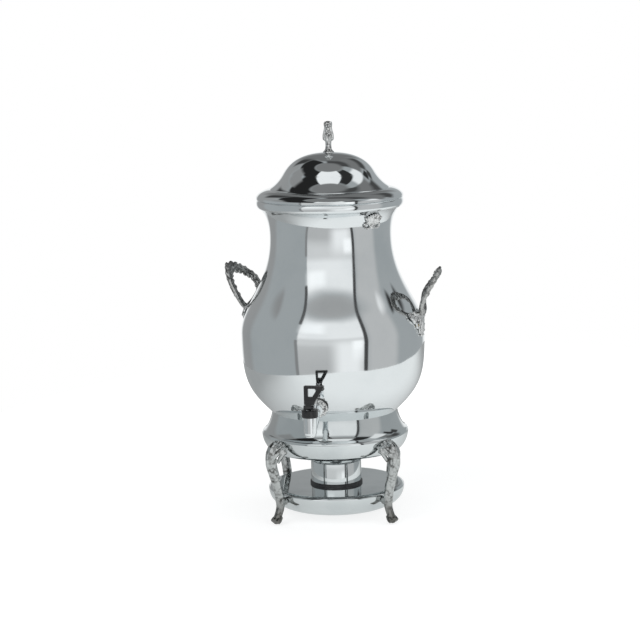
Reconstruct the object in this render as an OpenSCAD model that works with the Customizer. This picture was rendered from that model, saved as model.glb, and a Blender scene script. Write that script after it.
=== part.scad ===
// Coffee urn on a four-legged burner stand.
// The urn's axis is Z, the table is z = 0 and the tap points to -Y.
// Left is -X and right is +X.

/* [Vessel] */
// Radius of the vessel at its widest band
belly_r = 139; // [130:1:150]
// Height of the middle of the widest band
belly_z = 270; // [262:1:278]
// Height of the widest band
belly_band = 34; // [20:1:40]
// Radius of the vessel's foot, where it meets the stand
waist_r = 95.5; // [90:0.5:100]
// Height of the vessel's underside
waist_z = 159.5; // [156:0.5:163]
// Radius of the neck
neck_r = 92; // [88:0.5:96]
// Height of the neck's narrowest place
neck_z = 427; // [420:1:434]
// Radius of the flared mouth, outside
mouth_r = 106; // [103:0.5:109]
// Height of the flared mouth's edge
mouth_z = 470; // [464:1:476]
// Thickness of the spun metal
wall = 1.6; // [1.2:0.1:2]

/* [Rim band] */
// Height of the rolled band round the mouth
band_h = 14.5; // [12:0.5:17]
// How far the band bulges out past the mouth
band_bulge = 5; // [3:0.5:7]
// Radial width of the band's flat top
band_w = 9; // [7:0.5:11]

/* [Rim ornaments] */
// Angle from the tap to the right ornament, which has its twin opposite
ornament_turn = 52; // [40:1:60]
// Width of one ornament
ornament_w = 31; // [24:1:38]
// Height of one ornament
ornament_h = 27; // [22:1:30]
// Thickness of one ornament
ornament_t = 4; // [3:0.5:6]

/* [Lid] */
// Radius of the brim
brim_r = 111; // [110:0.5:114]
// Height of the brim's edge
brim_h = 4.5; // [3.5:0.5:6]
// Height of the dome above the brim's underside
lid_h = 67.5; // [60:0.5:75]
// Radius of the dome's bulging shoulder
dome_r = 69; // [65:0.5:73]
// Depth of the flange that centres the lid in the mouth
flange_h = 16; // [12:0.5:17]
// Clearance round the flange
flange_gap = 1; // [0.6:0.1:1.6]

/* [Finial] */
// Height of the finial above the dome
finial_h = 48; // [40:1:56]
// Radius of the finial's foot
finial_r = 8.5; // [7:0.5:9]
// Radius of the finial's threaded stud
stud_r = 3; // [2.5:0.25:3.5]

/* [Handles] */
// Radius of the handle's bar
bar_r = 4.4; // [3.6:0.1:5]
// Height of the lowest point of the loop's bar
loop_z = 312.5; // [309:0.5:317]
// Rise of the loop from its lowest to its highest bar
loop_rise = 62; // [56:1:66]
// How far the loop leans outwards over its rise
loop_lean = 26; // [20:1:30]
// Distance of the loop's lowest bar from the belly
loop_stand_off = 7; // [5:0.5:10]
// Angle that the loop spans round the vessel
loop_span = 25; // [23:0.5:28]
// Angle from the mount's middle to the loop's middle
loop_turn = 4.5; // [3.5:0.5:6]
// Angle that the line through both handles is turned from square to the tap
handle_turn = 8; // [4:0.5:12]
// Thickness of the leafy mount on the belly
mount_t = 4.5; // [3:0.5:6]
// Height of the mount
mount_h = 40; // [34:1:44]
// Angle that the mount spans round the vessel
mount_span = 24; // [18:1:28]

/* [Tap] */
// Height of the shank's axis at the wall
tap_z = 188; // [184:1:192]
// Distance from the urn's axis to the spout's axis
tap_reach = 174; // [168:1:182]
// Radius of the tap body
tap_r = 9.5; // [9:0.1:11]
// Height of the spout's outlet
spout_z = 154; // [150:0.5:156]
// Radius of the spout's bore
spout_r = 4.5; // [3.5:0.1:5]
// Radius of the valve chamber
chamber_r = 7.2; // [7:0.1:7.6]
// Height of the valve chamber's floor
chamber_z = 162; // [160:0.5:163]
// Height of the tap body's top edge
tap_top_z = 189; // [187:0.5:191]
// Radius of the shank, over its thread
shank_r = 7; // [6.5:0.1:7.5]
// Radius of the shank's bore
shank_bore_r = 4.2; // [3.5:0.1:4.6]
// Radius of the escutcheon
escutcheon_r = 18; // [16.5:0.5:20]
// Thickness of the escutcheon
escutcheon_t = 4; // [3:0.5:5]
// Thickness of each wall seal
seal_t = 2; // [1.5:0.25:3]
// Distance across the corners of the nut on the shank
shank_nut_d = 26; // [24:0.5:30]

/* [Tap lever] */
// Radius of the bonnet
bonnet_r = 12; // [11.8:0.1:13]
// Height of the bonnet
bonnet_h = 11.5; // [10.5:0.5:13]
// Radius of the stem
stem_r = 2.5; // [2:0.1:2.7]
// Distance from the stem's axis to the lever's pin
lever_arm = 6; // [5.8:0.1:6.2]
// Height of the lever's loop above its pin
lever_h = 32.5; // [28:0.5:38]
// Width of the lever's loop at the top
lever_w = 29; // [25:0.5:34]
// Thickness of the lever
lever_t = 4.5; // [3.5:0.25:5]
// Radius of the lever's pin
pin_r = 2; // [1.5:0.1:2.2]
// Radius of the return spring's coil, to the middle of the wire
spring_r = 4.6; // [4:0.1:5]
// Radius of the spring's wire
spring_wire_r = 0.5; // [0.4:0.05:0.6]
// Number of turns of the spring
spring_turns = 7; // [5:1:9]

/* [Stand] */
// Turn of the stand against the vessel
stand_turn = 9; // [0:1:15]
// Widest radius of the collar
collar_r = 111.6; // [108:0.2:114]
// Height of the collar's widest place
collar_z = 125; // [121:1:129]
// Radius of the collar's lower edge
collar_foot_r = 101; // [98:0.5:103]
// Height of the collar's lower edge
collar_foot_z = 101; // [98:0.5:104]
// Thickness of the collar
collar_wall = 1.8; // [1.4:0.1:2.2]
// Width of the collar's inner ledge
ledge_w = 16; // [13:0.5:20]

/* [Legs] */
// Radius of the legs' knees from the axis
knee_r = 134; // [130:0.5:138]
// Height of the top of the legs
leg_top_z = 130; // [126:0.5:133]
// Thickness of the legs' shanks
leg_t = 17; // [14:0.5:20]
// Width of the legs' leafy caps
cap_w = 42; // [36:1:48]
// Radius of the feet's toes from the axis
toe_r = 131; // [128:0.5:136]

/* [Tray] */
// Radius of the tray
tray_r = 104; // [100:0.5:105]
// Height of the tray's flat top
tray_z = 44; // [42:0.5:48]
// Depth of the tray's pan under its rim
pan_h = 29; // [26:0.5:31]
// Radius of the pan's flat bottom
pan_foot_r = 78; // [70:1:84]
// Thickness of the pan and the plate
tray_wall = 1.5; // [1.2:0.1:2]
// Height of the plate's rolled shoulder
shoulder_h = 4; // [3:0.25:5]

/* [Burner] */
// Radius of the burner's pot
pot_r = 38.5; // [34:0.5:42]
// Height of the burner's pot
pot_h = 36; // [32:0.5:38]
// Thickness of the pot
pot_wall = 1.4; // [1.2:0.1:2]
// Height of the dark base ring
base_ring_h = 4.5; // [3:0.5:6]
// How far the base ring stands out from the pot
base_ring_w = 1.6; // [1:0.1:2]
// Radius of the burner's lid
burner_lid_r = 39.5; // [39.2:0.1:40]
// Radius of the wick tube
wick_tube_r = 7; // [6:0.25:8]
// Height of the wick tube above the burner's lid
wick_tube_h = 8; // [6:0.5:9]
// Radius of the snuffer cap
snuffer_r = 9.5; // [9.5:0.25:11]

/* [Screws] */
// Radius of the screws in the stand, handles and escutcheon
screw_r = 2; // [1.6:0.1:2.4]
// Radius of the screw heads
screw_head_r = 3.8; // [3.2:0.1:4.2]
// Height of the screw heads
screw_head_h = 2.4; // [1.8:0.1:3]

/* [Hidden] */
$fn = 64;

silver = "silver";
black = [0.06, 0.06, 0.07];

// Clearances
thread_gap = 0.05;      // round a screw, a stud or a thread
running_gap = 0.05;     // round a pin or a stem that moves
face_gap = 0.1;         // between a curved wall and what is shaped to it
lift_gap = 0.3;         // between pieces that part
eps = 0.01;

// ---- curves ------------------------------------------------------------

// A point at t on a cubic curve with four control points
function bezier(p, t) =
    pow(1 - t, 3) * p[0] + 3 * pow(1 - t, 2) * t * p[1]
    + 3 * (1 - t) * t * t * p[2] + pow(t, 3) * p[3];

// n + 1 points along a cubic curve
function curve(p, n = 12) = [for (i = [0:n]) bezier(p, i / n)];

// All points but the first
function rest(points) = [for (i = [1:len(points) - 1]) points[i]];

// Points in the opposite order
function backwards(points) = [for (i = [len(points) - 1:-1:0]) points[i]];

// Points moved sideways, for the inside of a wall
function moved(points, dr, dz = 0) = [for (p = points) [p[0] + dr, p[1] + dz]];

// Height-to-radius pairs of an outline, for lookup
function by_height(points) = [for (p = points) [p[1], p[0]]];

// A closed smooth curve through points, with n steps between neighbours
function smooth_loop(p, n) = [
    for (i = [0:len(p) - 1], j = [0:n - 1])
        let (a = p[(i + len(p) - 1) % len(p)], b = p[i], c = p[(i + 1) % len(p)],
             d = p[(i + 2) % len(p)], t = j / n)
            0.5 * (2 * b + (c - a) * t + (2 * a - 5 * b + 4 * c - d) * t * t
                   + (3 * b - a - 3 * c + d) * t * t * t)];

function unit(v) = v / norm(v);

// A tube of radius r (or radii r[i]) round a closed line of points
module closed_tube(points, r, sides = 10) {
    n = len(points);
    rings = [
        for (i = [0:n - 1])
            let (ahead = unit(points[(i + 1) % n] - points[(i + n - 1) % n]),
                 side = unit(cross(ahead, [points[i][0], points[i][1], 0])),
                 up = cross(side, ahead))
                for (k = [0:sides - 1])
                    points[i] + (is_list(r) ? r[i] : r)
                        * (side * cos(360 * k / sides) + up * sin(360 * k / sides))];
    faces = [
        for (i = [0:n - 1], k = [0:sides - 1])
            let (a = i * sides, b = ((i + 1) % n) * sides, m = (k + 1) % sides)
                [a + k, a + m, b + m, b + k]];
    polyhedron(rings, faces);
}

// A tube along an open helix about Z, from z0 to z1
module helix_wire(r, wire_r, z0, z1, turns, steps = 16, sides = 8) {
    n = turns * steps;
    pitch_angle = atan((z1 - z0) / (turns * 2 * PI * r));
    rings = [
        for (i = [0:n], k = [0:sides - 1])
            let (a = 360 * i / steps, b = 360 * k / sides,
                 radial = [cos(a), sin(a), 0],
                 across = [sin(a) * sin(pitch_angle), -cos(a) * sin(pitch_angle), cos(pitch_angle)])
                radial * r + [0, 0, z0 + (z1 - z0) * i / n]
                    + wire_r * (radial * cos(b) + across * sin(b))];
    faces = concat(
        [[for (k = [0:sides - 1]) k]],
        [for (i = [0:n - 1], k = [0:sides - 1])
            let (a = i * sides, b = (i + 1) * sides, m = (k + 1) % sides)
                [a + k, b + k, b + m, a + m]],
        [[for (k = [sides - 1:-1:0]) n * sides + k]]);
    polyhedron(rings, faces);
}

// ---- outlines ----------------------------------------------------------

belly_low_z = belly_z - belly_band / 2;
belly_high_z = belly_z + belly_band / 2;
bowl_flare = 25;        // first reach of the bowl's curve out of the waist
shoulder_reach = 30;    // reach of the shoulder's curve above the belly
neck_reach = 68;        // reach of the shoulder's curve below the neck
bowl_reach = 50;        // reach of the bowl's curve below the belly

bowl_line = curve([[waist_r, waist_z], [waist_r + bowl_flare, waist_z + bowl_flare],
                   [belly_r, belly_low_z - bowl_reach], [belly_r, belly_low_z]], 14);
shoulder_line = curve([[belly_r, belly_high_z], [belly_r, belly_high_z + shoulder_reach],
                       [neck_r, neck_z - neck_reach], [neck_r, neck_z]], 16);
mouth_line = curve([[neck_r, neck_z], [neck_r, neck_z + 21],
                    [mouth_r - 9, mouth_z - 7], [mouth_r, mouth_z]], 10);
vessel_line = concat(bowl_line, shoulder_line, rest(mouth_line));
vessel_table = by_height(vessel_line);

// Outer radius of the vessel at a height
function vessel_r(z) = lookup(z, vessel_table);

// Lean of the vessel's wall from upright at a height
function vessel_lean(z) = atan((vessel_r(z - 2) - vessel_r(z + 2)) / 4);

collar_line = concat(
    curve([[waist_r, waist_z], [waist_r + 1, waist_z - 10.5],
           [collar_r, collar_z + 17], [collar_r, collar_z]], 10),
    rest(curve([[collar_r, collar_z], [collar_r, collar_z - 13],
                [collar_foot_r + 8, collar_foot_z + 5], [collar_foot_r, collar_foot_z]], 8)));
collar_table = by_height(backwards(collar_line));

// Outer radius of the collar at a height
function collar_radius(z) = lookup(z, collar_table);

pan_rim_z = tray_z - shoulder_h;
pan_line = curve([[tray_r, pan_rim_z], [tray_r, pan_rim_z - 14],
                  [tray_r - 8, pan_rim_z - pan_h + 5], [pan_foot_r, pan_rim_z - pan_h]], 10);
pan_table = by_height(backwards(pan_line));

// Outer radius of the tray's pan at a height
function pan_radius(z) = lookup(z, pan_table);

band_top_z = mouth_z + band_h;
band_inner_r = mouth_r - band_w + 1.5;
flange_r = band_inner_r - flange_gap;
lid_top_z = band_top_z + lid_h;
groove_r = dome_r + 21;         // where the lid's slope meets its brim
groove_z = band_top_z + 14;
shoulder_z = band_top_z + 0.555 * lid_h;

lid_line = concat(
    [[stud_r + thread_gap, lid_top_z], [finial_r + 1, lid_top_z]],
    curve([[finial_r + 2, lid_top_z - 0.1], [dome_r - 25, lid_top_z - 2],
           [dome_r - 9, lid_top_z - 15], [dome_r, shoulder_z]], 10),
    rest(curve([[dome_r, shoulder_z], [dome_r + 4.5, shoulder_z - 7.5],
                [groove_r - 10, groove_z + 7], [groove_r, groove_z + 1]], 8)),
    [[groove_r + 0.6, groove_z]],
    rest(curve([[groove_r + 0.6, groove_z], [groove_r + 8, groove_z - 1],
                [brim_r - 4, band_top_z + brim_h + 5], [brim_r, band_top_z + brim_h - 1]], 8)));

// ---- vessel ------------------------------------------------------------

// The vessel as if it were solid, grown by a gap, for shaping what touches it
module vessel_solid(gap = 0) {
    rotate_extrude($fn = 240)
        polygon(concat([[0, waist_z - gap], [waist_r + gap, waist_z - gap]],
                       moved(vessel_line, gap), [[0, mouth_z]]));
}

// The vessel's inner space, shrunk by a gap
module vessel_space(gap = 0) {
    rotate_extrude($fn = 240)
        polygon(concat([[0, waist_z + wall + gap], [waist_r - wall - gap, waist_z + wall + gap]],
                       moved(vessel_line, -wall - gap), [[0, mouth_z + 1]]));
}

// The spun bowl, from the bottom up to the seam at the middle of the widest band
module urn_bowl() {
    line = concat(bowl_line, [[belly_r, belly_z]]);
    color(silver)
        difference() {
            rotate_extrude($fn = 96)
                polygon(concat([[0, waist_z]], line,
                               backwards([for (p = line) [p[0] - wall, max(p[1], waist_z + wall)]]),
                               [[0, waist_z + wall]]));
            tap_place() translate([0, 0, -20]) cylinder(r = shank_r + thread_gap, h = 40);
            base_screw_places() cylinder(r = screw_r + thread_gap, h = 3 * wall, center = true);
        }
}

// The spun shoulder, neck and mouth, soldered to the bowl's edge
module urn_shoulder() {
    line = concat([[belly_r, belly_z]], shoulder_line, rest(mouth_line));
    color(silver)
        difference() {
            rotate_extrude($fn = 96) polygon(concat(line, backwards(moved(line, -wall))));
            handle_bolt_places() cylinder(r = screw_r + thread_gap, h = 6 * wall, center = true);
        }
}

module rim_band() {
    color(silver)
        rotate_extrude($fn = 96)
            polygon(concat(
                [[band_inner_r, mouth_z], [mouth_r, mouth_z]],
                rest(curve([[mouth_r, mouth_z], [mouth_r + band_bulge * 1.3, mouth_z + 1],
                            [mouth_r + band_bulge * 1.3, band_top_z - 1],
                            [mouth_r + 1.5, band_top_z]], 10)),
                [[band_inner_r, band_top_z]]));
}

ornament_tilt = 16;     // lean of the ornaments, along the flaring neck
ornament_z = mouth_z - ornament_h + 4;
ornament_angles = [ornament_turn, 180 + ornament_turn];

module rim_ornaments() {
    color(silver)
        for (a = ornament_angles)
            difference() {
                rotate([0, 0, a])
                    translate([0, -vessel_r(ornament_z) - face_gap, ornament_z])
                        rotate([90 + ornament_tilt, 0, 0])
                            translate([0, 0, -6]) linear_extrude(6 + ornament_t) ornament_outline();
                vessel_solid(face_gap);
                translate([0, 0, mouth_z - face_gap]) cylinder(r = 2 * mouth_r, h = band_h);
            }
}

// One cast shell's outline: a narrow root and a round, lobed fan
module ornament_outline() {
    lobes = 7;
    fan_r = ornament_w / 2;
    polygon(concat(
        [[-ornament_w * 0.12, 0], [ornament_w * 0.12, 0]],
        [for (i = [0:2 * lobes])
            let (a = -12 + 204 * i / (2 * lobes), r = fan_r * (i % 2 == 0 ? 0.93 : 1))
                [r * cos(a), ornament_h - fan_r + r * sin(a)]]));
}

// ---- lid ---------------------------------------------------------------

lid_t = wall * 0.9;
lid_under_line = [for (p = lid_line) [p[0], p[1] - lid_t * (p[0] > dome_r - 12 ? 1.35 : 1)]];
lid_under_table = backwards([for (p = lid_under_line) [-p[0], p[1]]]);

// Height of the lid's underside at a radius
function lid_under(r) = lookup(-r, lid_under_table);

// The raised dome, down to the groove
module lid_dome() {
    color(silver)
        rotate_extrude($fn = 96)
            polygon(concat(
                [for (p = lid_line) if (p[0] <= groove_r) p], [[groove_r, lid_under(groove_r)]],
                backwards([for (p = lid_under_line) if (p[0] < groove_r - 0.1) p])));
}

// The brim, soldered to the dome's edge at the groove
module lid_brim() {
    seat_r = flange_r + wall;
    color(silver)
        rotate_extrude($fn = 96)
            polygon(concat(
                [[groove_r, groove_z + 1]], [for (p = lid_line) if (p[0] > groove_r) p],
                [[brim_r, band_top_z], [seat_r, band_top_z], [seat_r, lid_under(seat_r)]],
                backwards([for (p = lid_under_line) if (p[0] > groove_r && p[0] < seat_r - 0.5) p]),
                [[groove_r, lid_under(groove_r)]]));
}

module lid_flange() {
    lip_r = flange_r + wall - face_gap;
    color(silver)
        rotate_extrude($fn = 96)
            polygon([[flange_r - wall, band_top_z - flange_h], [flange_r, band_top_z - flange_h],
                     [flange_r, band_top_z + lift_gap], [lip_r, band_top_z + lift_gap],
                     [lip_r, lid_under(lip_r) - lift_gap],
                     [flange_r - wall, lid_under(flange_r - wall) - lift_gap]]);
}

under_z = lid_top_z - lid_t;   // underside of the dome's flat top
washer_t = 1.2;
nut_t = 5;

// A stem, two curling scrolls and a flame, all round
module finial() {
    h = finial_h;
    color(silver)
        union() {
            translate([0, 0, under_z - washer_t - nut_t - 2])
                cylinder(r = stud_r, h = lid_top_z - under_z + washer_t + nut_t + 2 + eps);
            translate([0, 0, lid_top_z])
                rotate_extrude()
                    polygon([[0, 0], [finial_r, 0], [finial_r, 1.6], [finial_r * 0.7, 3.4],
                             [finial_r * 0.45, 7], [finial_r * 0.42, h * 0.22],
                             [finial_r * 0.7, h * 0.27], [finial_r * 0.82, h * 0.34],
                             [finial_r * 0.7, h * 0.41], [finial_r * 0.45, h * 0.47],
                             [finial_r * 0.62, h * 0.55], [finial_r * 0.78, h * 0.63],
                             [finial_r * 0.66, h * 0.74], [finial_r * 0.38, h * 0.86],
                             [finial_r * 0.14, h * 0.96], [0, h]]);
            for (side = [-1, 1], level = [0.34, 0.63])
                translate([side * finial_r * 0.82, 0, lid_top_z + h * level])
                    rotate([90, 0, 0])
                        cylinder(r = finial_r * (level < 0.5 ? 0.42 : 0.36), h = finial_r * 0.9, center = true);
        }
}

module finial_washer() {
    color(silver)
        translate([0, 0, under_z - washer_t])
            difference() {
                cylinder(r = finial_r * 0.85, h = washer_t);
                translate([0, 0, -eps]) cylinder(r = stud_r + thread_gap, h = washer_t + 2 * eps);
            }
}

module finial_nut() {
    color("goldenrod")
        translate([0, 0, under_z - washer_t - nut_t])
            difference() {
                cylinder(r = stud_r * 1.9, h = nut_t, $fn = 6);
                translate([0, 0, -eps]) cylinder(r = stud_r + thread_gap, h = nut_t + 2 * eps);
            }
}

// ---- handles -----------------------------------------------------------

// Stations of the loop: share of its span, share of its rise, share of its lean.
// The thumb corner is the highest and stands off furthest, and the far side of the
// loop comes back to the belly.
loop_stations = [
    [0.34, 0.00, 0.00], [0.06, 0.28, 0.24], [0.08, 0.65, 0.68], [0.20, 0.88, 0.91],
    [0.32, 1.00, 1.00], [0.56, 0.93, 0.75], [0.86, 0.77, 0.56], [0.98, 0.59, 0.20],
    [0.94, 0.39, -0.08], [0.76, 0.18, -0.13], [0.54, 0.02, 0.00]];
mount_turn = 1;
loop_base_r = vessel_r(loop_z) + loop_stand_off;
loop_points = smooth_loop(
    [for (s = loop_stations)
        let (a = mount_turn + loop_turn + loop_span * (s[0] - 0.5), r = loop_base_r + loop_lean * s[2])
            [r * cos(a), r * sin(a), loop_z + loop_rise * s[1]]], 3);

// The bar swells at the thumb corner
loop_radii = [for (i = [0:len(loop_points) - 1])
    bar_r * (1 + 0.4 * exp(-pow((i - 12) / 3.2, 2)))];

// The right handle is turned to the front and the left one, its mirror image, to the back
module at_side(side) {
    mirror([side < 0 ? 1 : 0, 0, 0]) rotate([0, 0, -side * handle_turn]) children();
}

module handle(side) {
    color(silver) at_side(side) closed_tube(loop_points, loop_radii);
}

module handle_left() { handle(-1); }
module handle_right() { handle(1); }

mount_top_z = loop_z + bar_r + 1;

// Half of the mount's outline: distance from its middle, and height
mount_outline = [
    [2, mount_top_z - mount_h], [7, mount_top_z - mount_h * 0.88], [11, mount_top_z - mount_h * 0.7],
    [19, mount_top_z - mount_h * 0.62], [23, mount_top_z - mount_h * 0.48],
    [30, mount_top_z - mount_h * 0.3], [26, mount_top_z - mount_h * 0.1], [20, mount_top_z]];

// A leafy pad shaped to the belly, with a saddle for the loop's lowest bar
module handle_mount(side) {
    low = mount_top_z - mount_h;
    pad = concat([low],
                 [for (p = shoulder_line) if (p[1] > low + 0.5 && p[1] < mount_top_z - 0.5) p[1]],
                 [mount_top_z]);
    saddle = [for (i = [0:4]) loop_z - (bar_r + 6) * (4 - i) / 4];
    saddle_r = loop_base_r + bar_r * 0.7;
    color(silver)
        at_side(side)
            difference() {
                union() {
                    intersection() {
                        rotate([0, 0, mount_turn - mount_span / 2])
                            rotate_extrude(angle = mount_span, $fn = 240)
                                polygon(concat(
                                    [for (z = pad) [vessel_r(z) + face_gap, z]],
                                    backwards([for (z = pad) [vessel_r(z) + mount_t, z]])));
                        rotate([90, 0, 90 + mount_turn])
                            linear_extrude(2 * belly_r)
                                polygon(concat(mount_outline,
                                               backwards([for (p = mount_outline) [-p[0], p[1]]])));
                    }
                    rotate([0, 0, mount_turn - mount_span / 3])
                        rotate_extrude(angle = mount_span * 2 / 3, $fn = 240)
                            polygon(concat(
                                [for (z = saddle) [vessel_r(z) + mount_t - 1, z]],
                                [[saddle_r, loop_z], [saddle_r, loop_z - bar_r - 2]]));
                }
                closed_tube(loop_points, [for (r = loop_radii) r + face_gap]);
                handle_bolt_pair()
                    cylinder(r = screw_r + thread_gap, h = 2 * (mount_t - 0.9), center = true);
            }
}

module handle_mount_left() { handle_mount(-1); }
module handle_mount_right() { handle_mount(1); }

handle_bolt_z = loop_z - 18;
handle_bolt_turns = [-mount_span / 4, mount_span / 4];

// Places of one handle's bolts: z points outwards, z = 0 on the wall's outside
module handle_bolt_pair() {
    for (turn = handle_bolt_turns)
        rotate([0, 0, mount_turn + turn])
            translate([vessel_r(handle_bolt_z), 0, handle_bolt_z])
                rotate([0, 90 - vessel_lean(handle_bolt_z), 0]) children();
}

module handle_bolt_places() {
    for (side = [1, -1]) at_side(side) handle_bolt_pair() children();
}

washer_seat = -wall - 0.6;      // inner face of the wall, clear of its curve
handle_washer_t = 1.6;

module handle_bolts() {
    seat = washer_seat - handle_washer_t;
    color("goldenrod")
        handle_bolt_places() {
            translate([0, 0, seat - eps]) cylinder(r = screw_r, h = mount_t - 1 - seat);
            translate([0, 0, seat - screw_head_h])
                cylinder(r = screw_head_r, h = screw_head_h, $fn = 6);
        }
}

module handle_washers() {
    color(black)
        handle_bolt_places()
            translate([0, 0, washer_seat - handle_washer_t])
                difference() {
                    cylinder(r = screw_head_r + 1.5, h = handle_washer_t);
                    translate([0, 0, -eps])
                        cylinder(r = screw_r + thread_gap, h = handle_washer_t + 2 * eps);
                }
}

// ---- tap ---------------------------------------------------------------

tap_wall_r = vessel_r(tap_z);
// Downward tilt of the shank, which meets the chamber just above its floor
tap_tilt = atan((tap_z - chamber_z - 2.6) / (tap_reach - tap_wall_r));

// Origin on the wall's outside, z along the shank, outwards and down
module tap_place() {
    translate([0, -tap_wall_r, tap_z]) rotate([90 + tap_tilt, 0, 0]) children();
}

flange_w0 = seal_t + 1.2;                   // back of the escutcheon along the shank
shank_end = (tap_reach - tap_wall_r) / cos(tap_tilt) - chamber_r - 3.5;
socket_start = shank_end - 12;
inner_face = -wall - seal_t - 2;            // front of the nut along the shank
nut_h = 7;

module tap_escutcheon() {
    color(silver)
        tap_place()
            translate([0, 0, flange_w0])
                difference() {
                    rotate_extrude()
                        polygon([[0, 0], [escutcheon_r, 0], [escutcheon_r, escutcheon_t * 0.4],
                                 [escutcheon_r - 1.5, escutcheon_t * 0.8],
                                 [escutcheon_r * 0.8, escutcheon_t], [0, escutcheon_t]]);
                    translate([0, 0, -eps])
                        cylinder(r = shank_r + thread_gap, h = escutcheon_t + 2 * eps);
                    escutcheon_screw_places()
                        translate([0, 0, -eps])
                            cylinder(r = screw_r * 0.75 + thread_gap, h = escutcheon_t + 1);
                }
}

module escutcheon_screw_places() {
    for (side = [-1, 1]) translate([side * escutcheon_r * 0.66, 0, 0]) children();
}

module escutcheon_screws() {
    color("dimgray")
        tap_place()
            translate([0, 0, flange_w0])
                escutcheon_screw_places() {
                    translate([0, 0, 0.4]) cylinder(r = screw_r * 0.75, h = escutcheon_t);
                    translate([0, 0, escutcheon_t])
                        cylinder(r1 = screw_r * 1.15, r2 = screw_r * 0.8, h = 1.1);
                }
}

// Soft ring between the escutcheon and the sloping wall
module tap_outer_seal() {
    color("dimgray")
        difference() {
            tap_place()
                translate([0, 0, -10])
                    difference() {
                        cylinder(r = escutcheon_r - 2, h = 10 + flange_w0);
                        translate([0, 0, -eps])
                            cylinder(r = shank_r + thread_gap, h = 12 + flange_w0);
                    }
            vessel_solid(face_gap);
        }
}

// Soft ring between the nut and the wall's inside
module tap_inner_seal() {
    color("dimgray")
        intersection() {
            tap_place()
                translate([0, 0, inner_face])
                    difference() {
                        cylinder(r = escutcheon_r - 4, h = 12);
                        translate([0, 0, -eps]) cylinder(r = shank_r + thread_gap, h = 14);
                    }
            vessel_space(face_gap);
        }
}

module tap_shank() {
    color(silver)
        tap_place()
            difference() {
                union() {
                    translate([0, 0, inner_face - nut_h - 3])
                        cylinder(r = shank_r, h = shank_end - inner_face + nut_h + 3);
                    translate([0, 0, flange_w0 + escutcheon_t + eps])
                        cylinder(r = shank_r + 2.5, h = 3);
                }
                translate([0, 0, inner_face - nut_h - 4]) cylinder(r = shank_bore_r, h = tap_reach);
            }
}

module tap_shank_nut() {
    color("goldenrod")
        tap_place()
            translate([0, 0, inner_face - nut_h - eps])
                difference() {
                    union() {
                        cylinder(d = shank_nut_d, h = nut_h - 1.5, $fn = 6);
                        cylinder(d = shank_nut_d * 0.86, h = nut_h);
                    }
                    translate([0, 0, -eps]) cylinder(r = shank_r + thread_gap, h = nut_h + 1);
                }
}

module tap_body() {
    spout_lip = 1;
    color(silver)
        difference() {
            union() {
                translate([0, -tap_reach, 0])
                    rotate_extrude()
                        polygon([[0, spout_z], [tap_r - spout_lip - 1, spout_z],
                                 [tap_r - spout_lip, spout_z + 1.5], [tap_r - spout_lip, spout_z + 3],
                                 [tap_r, spout_z + 6], [tap_r, tap_top_z], [0, tap_top_z]]);
                tap_place()
                    translate([0, 0, socket_start])
                        cylinder(r = shank_r + 2.4, h = shank_end - socket_start + chamber_r + 3);
            }
            translate([0, -tap_reach, spout_z - eps])
                cylinder(r = spout_r, h = chamber_z - spout_z + 2 * eps);
            translate([0, -tap_reach, chamber_z])
                cylinder(r = chamber_r, h = tap_top_z - chamber_z + 1);
            translate([0, -tap_reach, tap_top_z - skirt_h - lift_gap])
                difference() {
                    cylinder(r = bonnet_r + lift_gap, h = skirt_h + 10);
                    translate([0, 0, -eps]) cylinder(r = tap_r, h = skirt_h + 11);
                }
            tap_place() {
                translate([0, 0, socket_start - eps])
                    cylinder(r = shank_r + thread_gap, h = shank_end - socket_start + 0.2);
                cylinder(r = shank_bore_r, h = shank_end + 3.5 + chamber_r * 0.35);
            }
        }
}

skirt_h = 6;            // overlap of the bonnet on the tap body
bonnet_top_z = tap_top_z - skirt_h + bonnet_h;
pin_z = bonnet_top_z + 4;
pin_y = -tap_reach - lever_arm;
hub_r = 3.5;
hub_half = 4.6;
ear_in = 5;
ear_out = 7.4;

module tap_bonnet() {
    color(black)
        difference() {
            union() {
                translate([0, -tap_reach, 0])
                    rotate_extrude()
                        polygon([[0, tap_top_z - skirt_h], [bonnet_r - 0.8, tap_top_z - skirt_h],
                                 [bonnet_r, tap_top_z - skirt_h + 1], [bonnet_r, bonnet_top_z - 1.2],
                                 [bonnet_r - 1.2, bonnet_top_z], [0, bonnet_top_z]]);
                for (side = [-1, 1])
                    translate([side < 0 ? -ear_out : ear_in, pin_y, 0]) {
                        translate([0, -hub_r + 0.2, bonnet_top_z - 1])
                            cube([ear_out - ear_in, 2 * hub_r - 0.4, pin_z - bonnet_top_z + 1]);
                        translate([0, 0, pin_z])
                            rotate([0, 90, 0]) cylinder(r = hub_r - 0.2, h = ear_out - ear_in);
                    }
            }
            translate([0, -tap_reach, tap_top_z - skirt_h - eps])
                cylinder(r = tap_r + thread_gap, h = skirt_h + eps);
            translate([0, -tap_reach, 0]) cylinder(r = stem_r + running_gap, h = 2 * tap_top_z);
            translate([0, pin_y, pin_z])
                rotate([0, 90, 0]) cylinder(r = pin_r + running_gap, h = 40, center = true);
        }
}

module tap_lever_pin() {
    color("dimgray")
        translate([0, pin_y, pin_z])
            rotate([0, 90, 0]) cylinder(r = pin_r, h = 2 * ear_out + 0.4, center = true);
}

arm_rise = 2.4;         // height of the lever's noses above its pin
nose_r = 1.5;

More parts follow.
